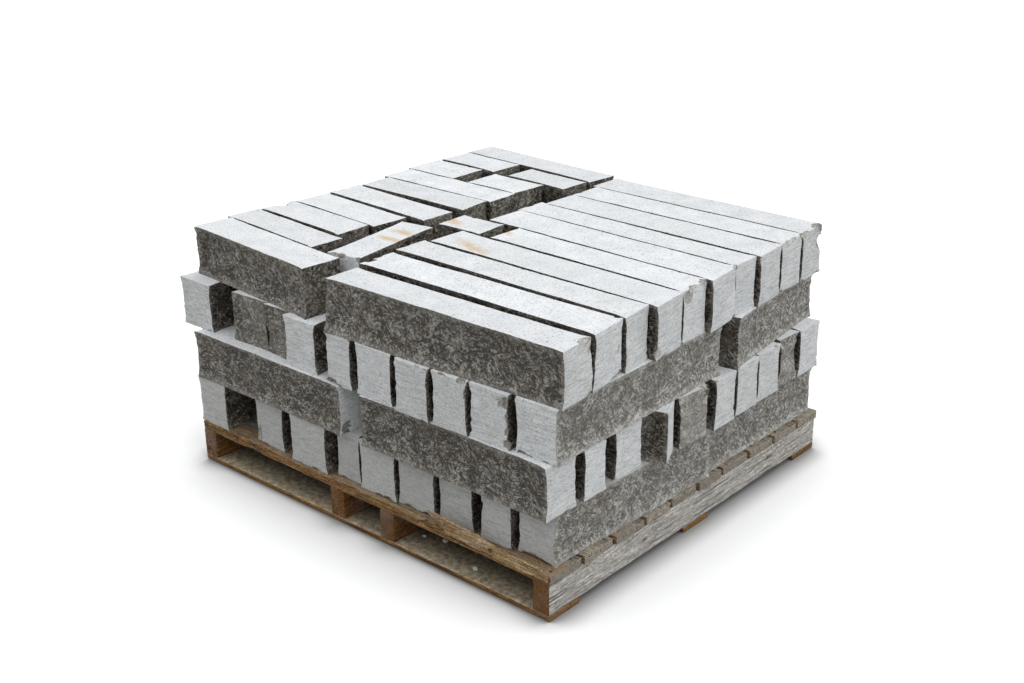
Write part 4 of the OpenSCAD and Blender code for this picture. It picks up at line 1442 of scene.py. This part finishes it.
    relief_part = add(tree, "Math", {0: crack, 1: -1.4, 2: figure}, operation="MULTIPLY_ADD")
    bump = add(tree, "Bump", {"Height": relief_part, "Strength": 0.8, "Distance": 1.2 * MM})
    matt = {"Roughness": 0.8, "Specular IOR Level": 0.25}
    surface = add(tree, "BsdfPrincipled", {"Base Color": colour, "Normal": bump, **matt})
    add(tree, "OutputMaterial", {"Surface": surface})
    return material


deck_pine = pine("pine, deck boards", "#C0965C", "#644022", "#CDC6B8", "#7B7164", dust=0.3)
bottom_pine = pine("pine, bottom boards", "#B0824A", "#66431F", "#A79C87", "#6A5F50", dust=0.93)
stringer_pine = pine("pine, stringers", "#97683A", "#4E3016", "#DEDBD6", "#96928C")
fresh_pine = pine("pine, newly torn", "#DCC194", "#9A7546", "#F2EBDD", "#D2C7B2")
print("pine materials:", sum(m.name.startswith("pine") for m in bpy.data.materials))

# %% [markdown]
# ## Rusty steel
#
# The nail heads are dark drawn steel under a crust of rust, which has grown in patches a
# couple of millimetres wide. They are matt all over, with a dull gleam between the patches.

# %% Rusty steel
steel, tree = new_material("rusty steel")
place = add(tree, "TexCoord").outputs["Object"]
patchy = {"Scale": 1 / (2 * MM), "Detail": 4.0, "Roughness": 0.7}
crust = add(tree, "TexNoise", {"Vector": place, **patchy})
rust_share = add(tree, "MapRange", {"Value": crust, "From Min": 0.42, "From Max": 0.58})
colour = add(tree, "MixRGB", {"Fac": rust_share, "Color1": "#3B3733", "Color2": "#6B4126"})
bump = add(tree, "Bump", {"Height": crust, "Strength": 0.6, "Distance": 0.4 * MM})
dull = {"Roughness": 0.75, "Metallic": 0.4}
surface = add(tree, "BsdfPrincipled", {"Base Color": colour, "Normal": bump, **dull})
add(tree, "OutputMaterial", {"Surface": surface})
print(steel.name, "has", len(tree.nodes), "nodes")

# %% [markdown]
# ## Building the pallet
#
# Each board and stringer takes the place of its CAD node. Splinters, fibres, nails and crumbs
# are extra: they stand for no node, and only ride with the pallet. The board at the front is
# the one that forks have torn. The sun has bleached the outer faces of the stringers, the one
# on the right among them.


# %% Build the pallet
def numbered(kind):
    """The nodes of one kind in order, each with its number."""
    return enumerate(sorted(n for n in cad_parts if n.startswith(kind)))


for number, node in numbered("deck_board"):
    finer = {"step": FINE_STEP, "torn": tear_front} if node == "deck_board_1" else {}
    timber(node, False, 700 + number, deck_pine, "deck_wood", **finer)
for number, node in numbered("bottom_board"):
    timber(node, False, 720 + number, bottom_pine, "bottom_wood", foot=0.009)
for number, node in numbered("stringer"):
    record_slot = "weathered_wood" if node == "stringer_right" else "stringer_wood"
    timber(node, True, 740 + number, stringer_pine, record_slot)

sliver("sprung_splinter", SPLINTER, 761, fresh_pine)
sliver("split_strip", STRIP, 762, fresh_pine)
places, faces = tufts(780)
fibres = new_piece("torn_fibres", places, faces, [deck_pine], "deck_wood")
keep_grain(fibres.data, places, grey=0.25, tone=0.5)
new_piece("nail_heads", *nail_heads(nail_spots()), [steel], "deck_wood")
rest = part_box("bottom_board_front")[1][2] - 0.001
for n, (x, y, radius) in enumerate(CRUMBS):
    ball = crumb(x, y, rest, radius, 790 + n)
    made = new_piece(f"stone_crumb_{n + 1}", *ball, [sawn_limestone], "stone")
    keep_value(made.data, "own_tone", 0.5)
triangles = sum(len(o.data.loop_triangles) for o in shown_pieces() if o.type == "MESH")
print("triangles of all pieces:", triangles)
